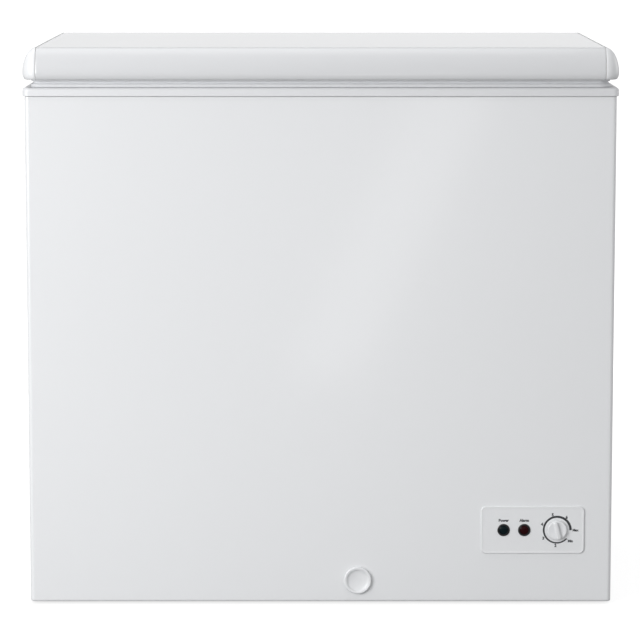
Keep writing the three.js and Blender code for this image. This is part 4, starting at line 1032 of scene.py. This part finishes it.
HINGE_X, ARM_SCREW_Y, ARM_SCREW_ZS = 0.3, 0.2583, (0.826, 0.842)
COVER_SCREW_XS, COVER_SCREW_Y, COVER_SCREW_ZS = (0.233, 0.438), 0.2547, (0.035, 0.140, 0.245)
for side, x in (("left", -HINGE_X), ("right", HINGE_X)):
    add_screws(f"arm_screws_{side}", [(x, ARM_SCREW_Y, z) for z in ARM_SCREW_ZS], BACK, "lid")
cover_screws = [(x, COVER_SCREW_Y, z) for x in COVER_SCREW_XS for z in COVER_SCREW_ZS]
add_screws("bay_cover_screws", cover_screws, BACK, "cabinet")


# ---------------------------------------------------------------- hanging wire basket
# Steel wire welded into a cage and coated white: a thick rim that rests on the frame's step, hoops
# round the cage, and U-shaped wires across it and along it.

coated = finish_of("coated_wire", (0.82, 0.825, 0.825), 0.33, coat=0.25, drift=0.03, clouds=40, grain=600,
                   height=0.00006)
RIM_WIRE, CAGE_WIRE = 0.0025, 0.0015
(rim_left, rim_front, _), (rim_right, rim_back, rim_top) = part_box("basket_frame")
(_, _, cage_low), (_, _, cage_top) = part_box("basket_cage")
rim_left, rim_front = rim_left + RIM_WIRE, rim_front + RIM_WIRE
rim_right, rim_back = rim_right - RIM_WIRE, rim_back - RIM_WIRE
rim_z = rim_top - RIM_WIRE
CAGE_FRONT, CAGE_BACK = -0.199, 0.187
CAGE_FALL = 0.190  # from the ledge to the cage's floor
WIRE_BEND = 0.008
floor_z = cage_low + 3 * CAGE_WIRE  # of the wires across, that the ones along are welded under
top_z = cage_top - CAGE_WIRE
cage_left, cage_right = rim_left + 0.0043, rim_right - 0.0043


def filleted(corners, bend, steps=4):
    """A path through corners, each rounded by a curve that leaves and joins the straights a bend away:
    (1-t)^2 A + 2t(1-t) P + t^2 B."""
    corners = np.asarray(corners, float)
    t = np.linspace(0, 1, steps + 1)[:, None]
    parts = [corners[:1]]
    for before, here, after in zip(corners[:-2], corners[1:-1], corners[2:]):
        a = here + (before - here) * bend / np.linalg.norm(before - here)
        b = here + (after - here) * bend / np.linalg.norm(after - here)
        parts.append((1 - t) ** 2 * a + 2 * t * (1 - t) * here + t**2 * b)
    return np.concatenate([*parts, corners[-1:]])


def wire(path, normal, radius, sides=8, closed=False):
    """Round wire along a path that lies in a plane: circles in the plane of the normal and of the
    path's own direction turned a quarter."""
    along = np.gradient(path, axis=0) if not closed else np.roll(path, -1, 0) - np.roll(path, 1, 0)
    along /= np.linalg.norm(along, axis=1, keepdims=True)
    across = np.cross(along, normal)
    a = np.linspace(0, 2 * np.pi, sides, endpoint=False)[:, None]
    lines = path[:, None] + radius * (np.cos(a) * across[:, None] + np.sin(a) * np.asarray(normal))
    return sheet_grid(lines[:, ::-1], closed=True, looped=closed, ends=0 if closed else 2)


rim_wire = wire(ring(rim_left, rim_right, rim_front, rim_back, 0.014, rim_z, 5), (0, 0, 1), RIM_WIRE, 12,
                True)
across_wires = [
    wire(filleted([(x, rim_front, top_z), (x, CAGE_FRONT, top_z), (x, CAGE_FRONT, floor_z),
                   (x, CAGE_BACK, floor_z), (x, CAGE_BACK, top_z), (x, rim_back, top_z)], WIRE_BEND),
         (1, 0, 0), CAGE_WIRE)
    for x in np.linspace(rim_left + 0.022, rim_right - 0.022, 8)
]
lower_z = cage_low + CAGE_WIRE
along_wires = [
    wire(filleted([(cage_left, y, rim_z), (cage_left, y, lower_z), (cage_right, y, lower_z),
                   (cage_right, y, rim_z)], WIRE_BEND), (0, 1, 0), CAGE_WIRE)
    for y in np.linspace(CAGE_FRONT + 0.020, CAGE_BACK - 0.020, 13)
]
hoops = [
    wire(ring(cage_left - 0.0015, cage_right + 0.0015, CAGE_FRONT - 0.0021, CAGE_BACK + 0.0021, 0.010,
              LEDGE_Z - CAGE_FALL * fall, 4), (0, 0, 1), CAGE_WIRE, 8, True)
    for fall in (0.18, 0.36, 0.54, 0.72)
]
make_piece("basket_rim_wire", rim_wire, coated, "basket", ["basket_frame"], sharp=60)
make_piece("basket_cage_wires", joined(*across_wires, *along_wires, *hoops), coated, "basket",
           ["basket_cage"], sharp=60)


# ---------------------------------------------------------------- floor
# A wide pale floor takes the freezer's soft shadow. It glows only where the camera looks at it, and
# fades to the room's white around the freezer.

stage_white = finish_of("white_floor", (0.28, 0.28, 0.28), 0.8, drift=0.004, clouds=0.6)
stage_tree = stage_white.node_tree
stage_link = stage_tree.links.new
stage_shader = stage_tree.nodes["Principled BSDF"]
looked_at = new_node(stage_tree, "LightPath")
place = new_node(stage_tree, "TexCoord")
reach = new_node(stage_tree, "VectorMath", operation="LENGTH")  # distance from the freezer's middle
fading = new_node(stage_tree, "MapRange", {"From Min": 0.5, "From Max": 2.6, "To Min": 0.80, "To Max": 1.0})
fading.interpolation_type = "SMOOTHSTEP"
glow = new_node(stage_tree, "Math", operation="MULTIPLY")
stage_link(place.outputs["Object"], reach.inputs[0])
stage_link(reach.outputs["Value"], fading.inputs["Value"])
stage_link(fading.outputs["Result"], glow.inputs[0])
stage_link(looked_at.outputs["Is Camera Ray"], glow.inputs[1])
stage_link(glow.outputs[0], stage_shader.inputs["Emission Strength"])
stage_shader.inputs["Emission Color"].default_value = (1, 1, 1, 1)
FLOOR_HALF = 45
floor_mesh = bpy.data.meshes.new("studio_floor")
floor_mesh.from_pydata(
    [(x * FLOOR_HALF, y * FLOOR_HALF, 0) for x, y in ((-1, -1), (1, -1), (1, 1), (-1, 1))],
    [],
    [(0, 1, 2, 3)],
)
floor_mesh.materials.append(stage_white)
studio_floor = bpy.data.objects.new("studio_floor", floor_mesh)
scene.collection.objects.link(studio_floor)
